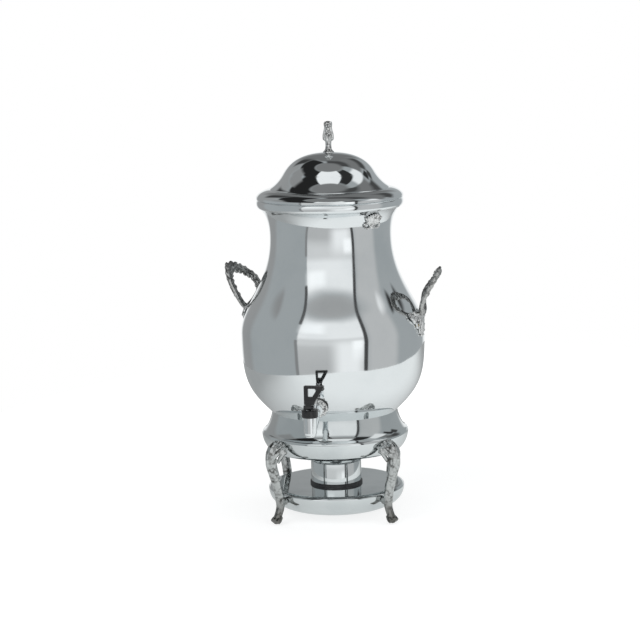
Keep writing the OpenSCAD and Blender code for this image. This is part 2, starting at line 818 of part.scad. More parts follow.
module tap_lever() {
    left = -6.4;
    right = left + lever_w;
    foot_z = pin_z + 4.6;
    bar = 4.2;
    top_z = pin_z + lever_h;
    back = pin_y + 1.5;
    color(black)
        difference() {
            union() {
                translate([0, pin_y, pin_z])
                    rotate([0, 90, 0]) cylinder(r = hub_r, h = 2 * hub_half, center = true);
                translate([-hub_half, back - lever_t, pin_z])
                    cube([2 * hub_half, lever_t, foot_z - pin_z + 1]);
                translate([0, back, 0])
                    rotate([90, 0, 0])
                        linear_extrude(lever_t)
                            difference() {
                                polygon([[left, foot_z], [left + 14.6, foot_z], [left + 16, foot_z + 4.5],
                                         [right, top_z - 2.4], [right, top_z], [left + 1, top_z],
                                         [left, top_z - 1]]);
                                polygon([[left + bar + 1.6, top_z - 16.4], [left + 12, top_z - 16.4],
                                         [right - 2.2 * bar, top_z - bar], [left + bar + 1.6, top_z - bar]]);
                            }
                for (side = [-1, 1])
                    translate([side < 0 ? -hub_half : hub_half - 1.7, pin_y, pin_z + arm_rise]) {
                        translate([0, 1, -nose_r]) cube([1.7, lever_arm - 1, 2 * nose_r]);
                        translate([0, lever_arm, 0]) rotate([0, 90, 0]) cylinder(r = nose_r, h = 1.7);
                    }
            }
            translate([0, pin_y, pin_z])
                rotate([0, 90, 0]) cylinder(r = pin_r + running_gap, h = 40, center = true);
        }
}

cup_h = 6;
cup_r = chamber_r - 0.7;
cup_z = chamber_z + 0.1;
head_z = pin_z + arm_rise + nose_r + lift_gap;

module tap_stem() {
    foot_z = cup_z + cup_h / 2;
    color(silver)
        translate([0, -tap_reach, 0]) {
            translate([0, 0, foot_z]) cylinder(r = stem_r, h = head_z - foot_z + eps);
            translate([0, 0, head_z])
                cylinder(r = lever_arm - 1.5 - lift_gap, h = 2.6);
        }
}

module tap_seat_cup() {
    color("dimgray")
        translate([0, -tap_reach, cup_z])
            difference() {
                rotate_extrude()
                    polygon([[0, 0], [cup_r, 0], [cup_r, cup_h * 0.55], [cup_r - 1.4, cup_h],
                             [0, cup_h]]);
                translate([0, 0, cup_h / 2]) cylinder(r = stem_r + thread_gap, h = cup_h);
            }
}

spring_low_z = cup_z + cup_h + spring_wire_r + face_gap;
spring_high_z = tap_top_z - spring_wire_r - face_gap;

module tap_spring() {
    color("gray")
        translate([0, -tap_reach, 0])
            helix_wire(spring_r, spring_wire_r, spring_low_z, spring_high_z, spring_turns);
}

// ---- stand -------------------------------------------------------------

module stand_place() { rotate([0, 0, stand_turn]) children(); }

ledge_t = 2.4;

module stand_collar() {
    color(silver)
        stand_place()
            difference() {
                rotate_extrude($fn = 96)
                    polygon(concat(
                        [[waist_r - ledge_w, waist_z]], collar_line,
                        backwards([for (p = collar_line) if (p[1] < waist_z - ledge_t - 2)
                            [p[0] - collar_wall, p[1]]]),
                        [[waist_r - collar_wall - 1, waist_z - ledge_t], [waist_r - ledge_w, waist_z - ledge_t]]));
                base_screw_places_local() cylinder(r = screw_r + thread_gap, h = 3 * ledge_t, center = true);
                leg_places() leg_screw_place(leg_screw_z, collar_radius(leg_screw_z))
                    cylinder(r = screw_r + thread_gap, h = 12, center = true);
            }
}

module base_screw_places_local() {
    for (a = [0:90:270])
        rotate([0, 0, a]) translate([waist_r - ledge_w * 0.6, 0, waist_z]) children();
}

module base_screw_places() { stand_place() base_screw_places_local() children(); }

module base_screws() {
    color("dimgray")
        base_screw_places() {
            translate([0, 0, -ledge_t - eps]) cylinder(r = screw_r, h = ledge_t + wall + 3.2);
            translate([0, 0, -ledge_t - screw_head_h]) cylinder(r = screw_head_r, h = screw_head_h);
            translate([0, 0, wall + eps]) cylinder(r = screw_head_r, h = screw_head_h, $fn = 6);
        }
}

// ---- legs --------------------------------------------------------------

leg_angles = [45, 135, 225, 315];
leg_screw_z = collar_z - 9;
tray_screw_z = pan_rim_z - 7;
leg_inner_r = tray_r + 0.3;

// Four places whose X axis points outwards over a leg
module leg_places() { for (a = leg_angles) rotate([0, 0, a - 90]) children(); }

// Place of a screw that points outwards at a height: z = 0 at radius r
module leg_screw_place(z, r) { translate([r, 0, z]) rotate([0, 90, 0]) children(); }

// Side outline of a leg: radius from the axis, and height
function leg_side(inner) = concat(
    [[collar_foot_r - 3, leg_top_z - 22], [collar_foot_r - 3, leg_top_z],
     [collar_r + 7, leg_top_z + 1]],
    rest(curve([[collar_r + 7, leg_top_z + 1], [knee_r - 4, leg_top_z - 2],
                [knee_r + 3, leg_top_z - 22], [knee_r - 1, leg_top_z - 42]], 8)),
    rest(curve([[knee_r - 1, leg_top_z - 42], [knee_r - 5, leg_top_z - 56],
                [inner + leg_t * 1.33, tray_z + 20], [inner + leg_t * 1.32, tray_z + 2]], 5)),
    rest(curve([[inner + leg_t * 1.32, tray_z + 2], [inner + leg_t * 1.3, tray_z - 14],
                [inner + leg_t * 0.88, tray_z / 2], [toe_r - 6, 12]], 5)),
    [[toe_r - 1.5, 9], [toe_r, 4.5], [toe_r - 1, 0], [toe_r - 19, 0], [toe_r - 22, 2.5],
     [toe_r - 22, 8]],
    rest(curve([[toe_r - 22, 8], [toe_r - 16, 18], [inner + 4, 20], [inner, 25]], 5)),
    [[inner, tray_z + 8]],
    rest(curve([[inner, tray_z + 8], [inner + 3, tray_z + 22], [inner + 12, leg_top_z - 50],
                [inner + 6, leg_top_z - 38]], 5)));

// Front outline of a leg: half its width at each height
leg_front = [
    [leg_t * 0.62, 0], [leg_t * 0.62, 8], [leg_t * 0.46, 18], [leg_t * 0.46, 40],
    [leg_t * 0.5, 72], [leg_t * 0.62, leg_top_z - 42], [cap_w * 0.4, leg_top_z - 28],
    [cap_w * 0.5, leg_top_z - 16], [cap_w * 0.46, leg_top_z - 6], [cap_w * 0.3, leg_top_z + 0.5],
    [cap_w * 0.1, leg_top_z + 2]];

module leg(number) {
    color(silver)
        stand_place()
            rotate([0, 0, leg_angles[number] - 90])
                difference() {
                    intersection() {
                        rotate([90, 0, 0])
                            translate([0, 0, -cap_w])
                                linear_extrude(2 * cap_w) polygon(leg_side(leg_inner_r));
                        translate([collar_foot_r - 10, 0, 0])
                            rotate([90, 0, 90])
                                linear_extrude(60)
                                    polygon(concat(leg_front,
                                                   [for (p = backwards(leg_front)) [-p[0], p[1]]]));
                    }
                    rotate_extrude($fn = 96)
                        polygon(concat([[0, waist_z]], moved(collar_line, face_gap),
                                       [[collar_foot_r + face_gap, collar_foot_z - face_gap],
                                        [0, collar_foot_z - face_gap]]));
                    leg_screw_place(leg_screw_z, collar_radius(leg_screw_z) - 6)
                        cylinder(r = screw_r + thread_gap, h = 6 + 8.3);
                    leg_screw_place(tray_screw_z, leg_inner_r - 6)
                        cylinder(r = screw_r + thread_gap, h = 6 + 8.3);
                }
}

module leg_front_right() { leg(0); }
module leg_back_right() { leg(1); }
module leg_back_left() { leg(2); }
module leg_front_left() { leg(3); }

// A screw whose head seats on a wall's inner face at radius r
module wall_screw(z, r, length) {
    leg_screw_place(z, r) {
        translate([0, 0, -eps]) cylinder(r = screw_r, h = length);
        translate([0, 0, -screw_head_h]) cylinder(r = screw_head_r, h = screw_head_h);
    }
}

module leg_screws() {
    r = collar_radius(leg_screw_z - screw_head_r) - collar_wall - 0.25;
    color("dimgray")
        stand_place() leg_places() wall_screw(leg_screw_z, r, collar_radius(leg_screw_z) + 8 - r);
}

// ---- tray --------------------------------------------------------------

module tray_pan() {
    color(silver)
        stand_place()
            difference() {
                rotate_extrude($fn = 96)
                    polygon(concat(
                        [[0, pan_rim_z - pan_h + tray_wall]],
                        [[pan_foot_r - tray_wall, pan_rim_z - pan_h + tray_wall]],
                        backwards([for (p = pan_line) if (p[1] > pan_rim_z - pan_h + tray_wall)
                            [p[0] - tray_wall, p[1]]]),
                        pan_line, [[0, pan_rim_z - pan_h]]));
                leg_places() leg_screw_place(tray_screw_z, tray_r)
                    cylinder(r = screw_r + thread_gap, h = 14, center = true);
            }
}

module tray_plate() {
    shoulder = curve([[tray_r - 9, tray_z], [tray_r - 4, tray_z], [tray_r - 1, tray_z - 1],
                      [tray_r, pan_rim_z]], 6);
    color(silver)
        rotate_extrude($fn = 96)
            polygon(concat([[0, tray_z]], shoulder,
                           [[tray_r - tray_wall, pan_rim_z],
                            [tray_r - 3, tray_z - tray_wall - 1],
                            [tray_r - 9, tray_z - tray_wall], [0, tray_z - tray_wall]]));
}

module tray_screws() {
    r = pan_radius(tray_screw_z - screw_head_r) - tray_wall - 0.25;
    color("dimgray")
        stand_place() leg_places() wall_screw(tray_screw_z, r, leg_inner_r + 8 - r);
}

// ---- burner ------------------------------------------------------------

pot_top_z = tray_z + pot_h;

module burner_pot() {
    floor_t = 2;
    color(silver)
        rotate_extrude()
            polygon([[0, tray_z + 0.2], [pot_r, tray_z + 0.2], [pot_r, pot_top_z],
                     [pot_r - pot_wall, pot_top_z], [pot_r - pot_wall, tray_z + floor_t],
                     [0, tray_z + floor_t]]);
}

module burner_base_ring() {
    color(black)
        rotate_extrude()
            polygon([[pot_r + thread_gap, tray_z], [pot_r + base_ring_w, tray_z],
                     [pot_r + base_ring_w, tray_z + base_ring_h - 1],
                     [pot_r + base_ring_w - 0.8, tray_z + base_ring_h],
                     [pot_r + thread_gap, tray_z + base_ring_h]]);
}

lid_plate_t = 1.6;
plug_h = 4;

module burner_lid() {
    plug_r = pot_r - pot_wall - lift_gap;
    color(silver)
        rotate_extrude()
            polygon([[wick_tube_r + thread_gap, pot_top_z + lid_plate_t],
                     [burner_lid_r - 0.7, pot_top_z + lid_plate_t],
                     [burner_lid_r, pot_top_z + lid_plate_t - 0.7], [burner_lid_r, pot_top_z],
                     [plug_r, pot_top_z], [plug_r, pot_top_z - plug_h],
                     [plug_r - pot_wall, pot_top_z - plug_h], [plug_r - pot_wall, pot_top_z],
                     [wick_tube_r + thread_gap, pot_top_z]]);
}

tube_wall = 0.8;

module wick_tube() {
    color("goldenrod")
        rotate_extrude()
            polygon([[wick_tube_r - tube_wall, pot_top_z - 12], [wick_tube_r, pot_top_z - 12],
                     [wick_tube_r, pot_top_z - 1.2], [wick_tube_r + 1.8, pot_top_z - 1.2],
                     [wick_tube_r + 1.8, pot_top_z - eps], [wick_tube_r, pot_top_z - eps],
                     [wick_tube_r, pot_top_z + wick_tube_h],
                     [wick_tube_r - tube_wall, pot_top_z + wick_tube_h]]);
}

module wick() {
    color("ivory")
        translate([0, 0, tray_z + 4])
            cylinder(r = wick_tube_r - tube_wall - thread_gap,
                     h = pot_top_z + wick_tube_h + 1.5 - tray_z - 4);
}

module snuffer_cap() {
    low = pot_top_z + lid_plate_t + 0.2;
    top = pot_top_z + wick_tube_h + 3.6;
    color(silver)
        rotate_extrude()
            polygon([[snuffer_r - 1, low], [snuffer_r, low], [snuffer_r, top - 1], [snuffer_r - 1, top],
                     [3, top], [2.4, top + 1], [3.4, top + 2.4], [2.6, top + 3.8], [0, top + 4.2],
                     [0, top - 1], [snuffer_r - 1, top - 1]]);
}

// ---- nodes -------------------------------------------------------------

urn_bowl();
urn_shoulder();
rim_band();
rim_ornaments();
lid_dome();
lid_brim();
lid_flange();
finial();
finial_washer();
finial_nut();
handle_left();
handle_right();
handle_mount_left();
handle_mount_right();
handle_bolts();
handle_washers();
tap_escutcheon();
escutcheon_screws();
tap_outer_seal();
tap_inner_seal();
tap_shank();
tap_shank_nut();
tap_body();
tap_bonnet();
tap_lever();
tap_lever_pin();
tap_stem();
tap_seat_cup();
tap_spring();
stand_collar();
base_screws();
leg_front_left();
leg_front_right();
leg_back_right();
leg_back_left();
leg_screws();
tray_pan();
tray_plate();
tray_screws();
burner_pot();
burner_base_ring();
burner_lid();
wick_tube();
wick();
snuffer_cap();
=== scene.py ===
"""Looks of a silver-plated coffee urn on a four-legged burner stand.

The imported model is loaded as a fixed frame. This script dresses its nodes with
procedural finishes, models the spun and the cast silver pieces in full relief
and sets up a plain pale studio with a camera.
"""

import logging
import math
from dataclasses import dataclass, field
from enum import Enum
from typing import Optional, Sequence

import bpy
from mathutils import Matrix, Vector


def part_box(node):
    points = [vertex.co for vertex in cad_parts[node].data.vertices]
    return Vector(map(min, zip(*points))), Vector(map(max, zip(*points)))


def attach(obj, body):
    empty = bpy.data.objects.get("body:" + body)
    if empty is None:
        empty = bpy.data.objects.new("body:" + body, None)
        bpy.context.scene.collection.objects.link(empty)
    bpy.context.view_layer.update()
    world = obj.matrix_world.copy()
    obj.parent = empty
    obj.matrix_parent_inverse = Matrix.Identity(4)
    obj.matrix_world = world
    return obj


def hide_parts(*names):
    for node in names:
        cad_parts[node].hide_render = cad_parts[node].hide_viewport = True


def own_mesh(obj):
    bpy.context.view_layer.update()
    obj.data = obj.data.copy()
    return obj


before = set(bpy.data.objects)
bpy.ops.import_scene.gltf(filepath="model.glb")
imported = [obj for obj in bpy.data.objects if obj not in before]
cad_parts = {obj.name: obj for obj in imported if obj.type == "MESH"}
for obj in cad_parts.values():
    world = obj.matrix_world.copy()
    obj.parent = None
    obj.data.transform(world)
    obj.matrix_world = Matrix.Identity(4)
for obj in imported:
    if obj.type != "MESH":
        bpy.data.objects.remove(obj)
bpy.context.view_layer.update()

MM = 0.001
Point = tuple[float, float, float]
Station = tuple[float, float, float, float]
Line = tuple[Station, ...]
Profile = Sequence[tuple[float, float]]
Rgb = tuple[float, float, float]
Piece = bpy.types.Object
Node = bpy.types.Node
Socket = bpy.types.NodeSocket

log = logging.getLogger("urn")


# ---- outlines of the urn ---------------------------------------------------


def bezier(points: Sequence[Sequence[float]], count: int) -> list[tuple[float, ...]]:
    """Place points along a cubic curve.

    Args:
        points: The four control points.
        count: How many steps to take.

    Returns:
        The points, count + 1 of them.
    """
    found = []
    for i in range(count + 1):
        t = i / count
        weights = ((1 - t) ** 3, 3 * (1 - t) ** 2 * t, 3 * (1 - t) * t * t, t**3)
        found.append(tuple(sum(w * v for w, v in zip(weights, axis)) for axis in zip(*points)))
    return found


def compass(turn: float) -> tuple[float, float]:
    """Give the cosine and the sine of an angle in degrees."""
    return math.cos(math.radians(turn)), math.sin(math.radians(turn))


def sided(line: Sequence[Station], side: int, axis: int = 1) -> list[Station]:
    """Give a line as it is, or mirrored along an axis where side is -1."""
    return [(*p[:axis], side * p[axis], *p[axis + 1 :]) for p in line]


@dataclass(frozen=True)
class Outline:
    """A wall's outline, as (radius, height) pairs from the bottom up, in mm."""

    points: tuple[tuple[float, float], ...]

    def radius(self, z: float) -> float:
        """Find the wall's radius at a height.

        Args:
            z: The height in mm.

        Returns:
            The radius in mm.
        """
        pairs = self.points
        if z <= pairs[0][1]:
            return pairs[0][0]
        for (r0, z0), (r1, z1) in zip(pairs, pairs[1:]):
            if z <= z1 and z1 > z0:
                return r0 + (r1 - r0) * (z - z0) / (z1 - z0)
        return pairs[-1][0]

    def on_wall(self, turn: float, z: float, proud: float = 0.0) -> Point:
        """Find a point on or in front of the wall.

        Args:
            turn: The angle from the tap's side towards the right, in degrees.
            z: The height in mm.
            proud: How far the point stands in front of the wall, in mm.

        Returns:
            The point in mm.
        """
        slope = (self.radius(z + 1) - self.radius(z - 1)) / 2
        steep = math.hypot(1, slope)
        r = self.radius(z) + proud / steep
        ahead, aside = compass(turn)
        return (r * aside, -r * ahead, z - proud * slope / steep)


# Radii and heights over the floor that several pieces share, in mm
WAIST_R, WAIST_Z = 95.5, 159.5
BELLY_R, BELLY_Z = 139.4, 279.8
NECK_R, NECK_Z = 92.0, 427.0
MOUTH_R, MOUTH_Z = 106.0, 470.0
BAND_TOP = 484.5
BRIM_R = 111.0
CROWN_Z = 552.0
TRAY_R, TRAY_Z = 104.0, 40.0
PAN_LOW = 11.0

VESSEL = Outline(
    tuple(
        bezier(((WAIST_R, WAIST_Z), (133.4, 196), (BELLY_R, 210.7), (BELLY_R, BELLY_Z)), 32)
        + bezier(((BELLY_R, BELLY_Z), (BELLY_R, 324.5), (NECK_R, 353.9), (NECK_R, NECK_Z)), 32)[1:]
        + bezier(((NECK_R, NECK_Z), (NECK_R, 448), (97, 463), (MOUTH_R, MOUTH_Z)), 12)[1:]
    )
)
LID = Outline(
    tuple(
        bezier(((BRIM_R, 488), (107, 494), (98, 497.5), (90.6, 498.5)), 12)
        + bezier(((90, 499.5), (80, 505.5), (73.5, 514.46), (69, 521.96)), 18)[:-1]
        + bezier(((69, 521.96), (60, 537), (44, 550), (10.5, 551.9)), 40)
        + [(9.5, CROWN_Z), (0.0, CROWN_Z)]
    )
)
PAN = Outline(tuple(bezier(((78, PAN_LOW), (96, 16), (TRAY_R, 26), (TRAY_R, TRAY_Z)), 14)))
COLLAR = Outline(
    tuple(
        bezier(((101, 101), (105, 105), (109.8, 112), (111.2, 120)), 10)
        + bezier(((111.2, 120), (112.4, 125), (112.2, 128.5), (108.8, 129.8)), 10)
        + bezier(((108.8, 129.8), (103, 134), (98, 146), (WAIST_R, WAIST_Z)), 12)
    )
)


# ---- bench tools -----------------------------------------------------------


class Body(Enum):
    """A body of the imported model."""

    URN = "urn"
    LID = "lid"
    BURNER = "burner"
    BURNER_LID = "burner_lid"
    SNUFFER = "snuffer"


class Slot(Enum):
    """A material slot of the record."""

    SHEET = "body_silver"
    CAST = "cast_silver"
    SPRING = "spring_steel"


class Bench:
    """Bench tools that make and finish meshes with Blender's own operators."""

    KNOT_STEPS = 5
    WELD = 2e-6
    CREASE = math.radians(32)

    @staticmethod
    def clear() -> None:
        """Put every piece down."""
        if bpy.context.object and bpy.context.object.mode != "OBJECT":
            bpy.ops.object.mode_set(mode="OBJECT")
        bpy.ops.object.select_all(action="DESELECT")

    @staticmethod
    def pick(pieces: Sequence[Piece]) -> None:
        """Select pieces and make the first one active.

        Args:
            pieces: The pieces.
        """
        Bench.clear()
        for piece in pieces:
            piece.select_set(True)
        bpy.context.view_layer.objects.active = pieces[0]

    @staticmethod
    def rod(stations: Sequence[Station], closed: bool = False, sides: int = 4) -> Piece:
        """Draw a round bar of changing thickness along a smooth line.

        Args:
            stations: Points with a radius each: x, y, z and r in mm.
            closed: True for a loop.
            sides: How finely the bar is rounded.

        Returns:
            The bar as a mesh.
        """
        Bench.clear()
        bpy.ops.curve.primitive_nurbs_path_add()
        curve = bpy.context.object.data
        curve.splines.clear()
        spline = curve.splines.new("BEZIER")
        spline.bezier_points.add(len(stations) - 1)
        for knot, (x, y, z, r) in zip(spline.bezier_points, stations):
            knot.co = (x * MM, y * MM, z * MM)
            knot.radius = r * MM
            knot.handle_left_type = knot.handle_right_type = "AUTO"
        spline.use_cyclic_u = closed
        curve.resolution_u = Bench.KNOT_STEPS
        curve.bevel_depth = 1
        curve.bevel_resolution = sides
        curve.use_fill_caps = True
        bpy.ops.object.convert(target="MESH")
        return bpy.context.object

    @staticmethod
    def ball(centre: Point, size: Point, segments: int = 12) -> Piece:
        """Make a ball squeezed to an egg.

        Args:
            centre: Its centre in mm.
            size: Its half sizes along X, Y and Z in mm.
            segments: How finely it is rounded.

        Returns:
            The ball as a mesh.
        """
        Bench.clear()
        bpy.ops.mesh.primitive_uv_sphere_add(
            segments=segments,
            ring_count=max(8, segments // 2),
            radius=MM,
            location=[c * MM for c in centre],
            scale=size,
        )
        return bpy.context.object

    @staticmethod
    def named(name: str) -> Piece:
        """Name the active piece and its mesh."""
        bpy.context.object.name = bpy.context.object.data.name = name
        return bpy.context.object

    @staticmethod
    def lathe(outline: Profile, steps: int, name: str = "turned", ring: bool = False) -> Piece:
        """Spin an outline round the urn's axis.

        Args:
            outline: The outline, as (radius, height) pairs in mm.
            steps: How many steps the full turn has.
            name: The piece's name.
            ring: True to close the outline off the axis.

        Returns:
            The turned piece.
        """
        if ring:
            outline = [*outline, outline[0]]
        Bench.clear()
        bpy.ops.mesh.primitive_plane_add(size=MM)
        bpy.ops.object.mode_set(mode="EDIT")
        bpy.ops.mesh.select_all(action="SELECT")
        bpy.ops.mesh.merge(type="CENTER")
        bpy.ops.transform.translate(value=(outline[0][0] * MM, 0, outline[0][1] * MM))
        for (r0, z0), (r1, z1) in zip(outline, outline[1:]):
            bpy.ops.mesh.extrude_region_move(
                TRANSFORM_OT_translate={"value": ((r1 - r0) * MM, 0, (z1 - z0) * MM)}
            )
        bpy.ops.mesh.select_all(action="SELECT")
        bpy.ops.mesh.spin(steps=steps, angle=2 * math.pi, center=(0, 0, 0), axis=(0, 0, 1))
        bpy.ops.mesh.select_all(action="SELECT")
        bpy.ops.mesh.remove_doubles(threshold=Bench.WELD)
        bpy.ops.mesh.normals_make_consistent(inside=False)
        bpy.ops.object.mode_set(mode="OBJECT")
        Bench.settle(bpy.context.object)
        bpy.ops.object.shade_smooth_by_angle(angle=Bench.CREASE)
        return Bench.named(name)

    @staticmethod
    def settle(piece: Piece) -> None:
        """Move a piece's place into its mesh."""
        Bench.pick([piece])
        bpy.ops.object.transform_apply(location=True, rotation=True, scale=True)

    @staticmethod
    def apply(piece: Piece, kind: str, **values: object) -> None:
        """Add one modifier and apply it.

        Args:
            piece: The piece to change.
            kind: The modifier's type.
            values: The modifier's settings.
        """
        Bench.pick([piece])
        bpy.ops.object.modifier_add(type=kind)
        modifier = piece.modifiers[-1]
        for name, value in values.items():
            setattr(modifier, name, value)
        bpy.ops.object.modifier_apply(modifier=modifier.name)

    @staticmethod
    def cast(name: str, parts: Sequence[Piece], grain: float, smooth: int = 2) -> Piece:
        """Melt overlapping shapes into one casting.

        Args:
            name: The casting's name.
            parts: The shapes.
            grain: The size of the smallest detail kept, in mm.
            smooth: How often the surface is smoothed.

        Returns:
            The casting.
        """
        for part in parts:
            Bench.settle(part)
        Bench.pick(parts)
        bpy.ops.object.join()
        whole = Bench.named(name)
        Bench.apply(whole, "REMESH", mode="VOXEL", voxel_size=grain * MM)
        Bench.apply(whole, "SMOOTH", factor=0.5, iterations=smooth)
        bpy.ops.object.shade_smooth()
        return whole

    @staticmethod
    def copy(piece: Piece, name: str, matrix: Matrix) -> Piece:
        """Copy a piece, with a mesh of its own.

        Args:
            piece: The piece.
            name: The copy's name.
            matrix: Where the copy goes.

        Returns:
            The copy.
        """
        Bench.pick([piece])
        bpy.ops.object.duplicate()
        twin = Bench.named(name)
        twin.data.transform(matrix)
        if matrix.determinant() < 0:
            bpy.ops.object.mode_set(mode="EDIT")
            bpy.ops.mesh.select_all(action="SELECT")
            bpy.ops.mesh.flip_normals()
            bpy.ops.object.mode_set(mode="OBJECT")
        return twin


# ---- finishes --------------------------------------------------------------


def cleared(owner: object) -> bpy.types.NodeTree:
    """Switch on the nodes of a material or world and clear them.

    Args:
        owner: The material or world.

    Returns:
        Its node tree.
    """
    owner.use_nodes = True
    owner.node_tree.nodes.clear()
    return owner.node_tree


class Nodes:
    """A short way to wire shader nodes."""

    def __init__(self, tree: bpy.types.NodeTree) -> None:
        """Keep the tree."""
        self.tree = tree

    def feed(self, target: Socket, value: object) -> None:
        """Link a socket to an input, or set the input to a plain value.

        Args:
            target: The input.
            value: The socket or the plain value.
        """
        if isinstance(value, Socket):
            self.tree.links.new(value, target)
        else:
            target.default_value = value

    def add(self, kind: str, values: Optional[dict] = None, **settings: object) -> Node:
        """Add a node.

        Args:
            kind: The node's type.
            values: Values and links for its inputs.
            settings: The node's own settings.

        Returns:
            The node.
        """
        node = self.tree.nodes.new(kind)
        for name, setting in settings.items():
            setattr(node, name, setting)
        for name, value in (values or {}).items():
            self.feed(node.inputs[name], value)
        return node

    def math(self, operation: str, a: object, b: object = 0.0, clamp: bool = False) -> Socket:
        """Compute one value from two."""
        node = self.add("ShaderNodeMath", {0: a, 1: b}, operation=operation, use_clamp=clamp)
        return node.outputs[0]

    def grade(self, value: Socket, factor: float, base: object) -> Socket:
        """Compute a value times a factor plus a base."""
        values = {0: value, 1: factor, 2: base}
        return self.add("ShaderNodeMath", values, operation="MULTIPLY_ADD").outputs[0]

    def place(self) -> Socket:
        """Get the point on the object, in metres."""
        return self.add("ShaderNodeTexCoord").outputs["Object"]

    def height(self) -> Socket:
        """Get the point's height on the object, in metres."""
        return self.add("ShaderNodeSeparateXYZ", {0: self.place()}).outputs["Z"]

    def noise(self, place: Socket, scale: object, detail: float, rough: float = 0.5) -> Socket:
        """Get soft noise from 0 to 1."""
        values = {"Vector": place, "Scale": scale, "Detail": detail, "Roughness": rough}
        return self.add("ShaderNodeTexNoise", values).outputs["Fac"]

    def span(
        self, value: Socket, low: float, high: float, start: float = 0.0, end: float = 1.0
    ) -> Socket:
        """Map a value from one span to another, smoothly."""
        values = {"Value": value, "From Min": low, "From Max": high, "To Min": start, "To Max": end}
        return self.add("ShaderNodeMapRange", values, interpolation_type="SMOOTHSTEP").outputs[0]

    def mix(self, share: Socket, first: object, second: object) -> Socket:
        """Mix two colours."""
        values = {0: share, 6: first, 7: second}
        return self.add("ShaderNodeMix", values, data_type="RGBA").outputs[2]


def full(colour: Rgb) -> tuple[float, float, float, float]:
    """Add the alpha that colour sockets need."""
    return (*colour, 1.0)


class Groups:
    """Shader node groups that several finishes share."""

    @staticmethod
    def fresh(
        name: str, inputs: dict[str, float], outputs: Sequence[str]
    ) -> tuple[Nodes, Node, Node]:
        """Start a group with value sockets.

        Args:
            name: The group's name.
            inputs: Its inputs, with their starting values.
            outputs: Names of its outputs.

        Returns:
            The group's nodes, its input node and its output node.
        """
        tree = bpy.data.node_groups.new(name, "ShaderNodeTree")
        for label, value in inputs.items():
            socket = tree.interface.new_socket(label, in_out="INPUT", socket_type="NodeSocketFloat")
            socket.default_value = value
        for label in outputs:
            tree.interface.new_socket(label, in_out="OUTPUT", socket_type="NodeSocketFloat")
        nodes = Nodes(tree)
        return nodes, nodes.add("NodeGroupInput"), nodes.add("NodeGroupOutput")

    @staticmethod
    def polish() -> bpy.types.NodeTree:
        """Build the marks that polishing and wiping leave.

        Returns:
            A group with the outputs Marks, Haze and Relief.
        """
        nodes, given, result = Groups.fresh(
            "polish_marks",
            {"Scratch Scale": 900.0, "Haze Scale": 14.0, "Wave Scale": 22.0},
            ("Marks", "Haze", "Relief"),
        )
        place = nodes.place()
        upright = {"Vector": place, "Scale": (1.0, 1.0, 0.06)}
        drawn = nodes.add("ShaderNodeMapping", upright).outputs[0]
        scratch = nodes.noise(drawn, given.outputs["Scratch Scale"], 2.0, 0.6)
        haze = nodes.noise(place, given.outputs["Haze Scale"], 4.0, 0.55)
        wave = nodes.noise(place, given.outputs["Wave Scale"], 1.0, 0.4)
        nodes.feed(result.inputs["Marks"], nodes.span(scratch, 0.58, 0.74))
        nodes.feed(result.inputs["Haze"], nodes.span(haze, 0.42, 0.72))
        nodes.feed(result.inputs["Relief"], wave)
        return nodes.tree

    @staticmethod
    def patina() -> bpy.types.NodeTree:
        """Build the tarnish that stays in the hollows of cast work.

        Returns:
            A group with the outputs Tarnish and Relief.
        """
        nodes, given, result = Groups.fresh(
            "patina", {"Scale": 220.0, "Amount": 0.5}, ("Tarnish", "Relief")
        )
        place = nodes.place()
        cells = nodes.add(
            "ShaderNodeTexVoronoi",
            {"Vector": place, "Scale": given.outputs["Scale"], "Smoothness": 0.6},
            feature="SMOOTH_F1",
        ).outputs["Distance"]
        clouds = nodes.span(nodes.noise(place, 90.0, 4.0, 0.6), 0.4, 0.66)
        blend = nodes.math("MULTIPLY", clouds, nodes.span(cells, 0.25, 0.75))
        tarnish = nodes.math("MULTIPLY", blend, given.outputs["Amount"], True)
        nodes.feed(result.inputs["Tarnish"], tarnish)
        nodes.feed(result.inputs["Relief"], cells)
        return nodes.tree


class Coat(Nodes):
    """The nodes of one material, with its shader and the shared groups."""

    def __init__(self, material: bpy.types.Material, shop: "FinishShop") -> None:
        """Clear a material and give it a shader.

        Args:
            material: The material.
            shop: Where shared groups are kept.
        """
        super().__init__(cleared(material))
        self.shop = shop
        self.shader = self.add("ShaderNodeBsdfPrincipled")
        self.add("ShaderNodeOutputMaterial", {"Surface": self.shader.outputs[0]})

    def put(self, name: str, value: object) -> None:
        """Give one of the shader's inputs a link or a plain value."""
        self.feed(self.shader.inputs[name], value)

    def group(self, tree: bpy.types.NodeTree, values: dict[str, float]) -> Sequence[Socket]:
        """Place a shared group with values of its own and give its outputs."""
        return self.add("ShaderNodeGroup", values, node_tree=tree).outputs

    def tint(self, mask: Socket, share: float, tones: Sequence[Rgb]) -> None:
        """Tint the shader from one tone towards another where a mask shows."""
        first, second = map(full, tones)
        self.put("Base Color", self.mix(self.math("MULTIPLY", mask, share), first, second))

    def emboss(self, height: Socket, strength: float, depth: float) -> None:
        """Feed a height into the shader's normal, with its depth in mm."""
        values = {"Height": height, "Strength": strength, "Distance": depth * MM}
        self.put("Normal", self.add("ShaderNodeBump", values).outputs[0])


@dataclass(frozen=True)
class Finish:
    """What every finish has: a name, and a way to be built."""

    name: str

    def build(self, shop: "FinishShop") -> bpy.types.Material:
        """Build the material.

        Args:
            shop: Where shared groups are kept.

        Returns:
            The material.
        """
        material = bpy.data.materials.new(self.name)
        self.wire(Coat(material, shop))
        return material

    def wire(self, coat: Coat) -> None:
        """Wire this finish's nodes into the coat's shader."""
        raise NotImplementedError


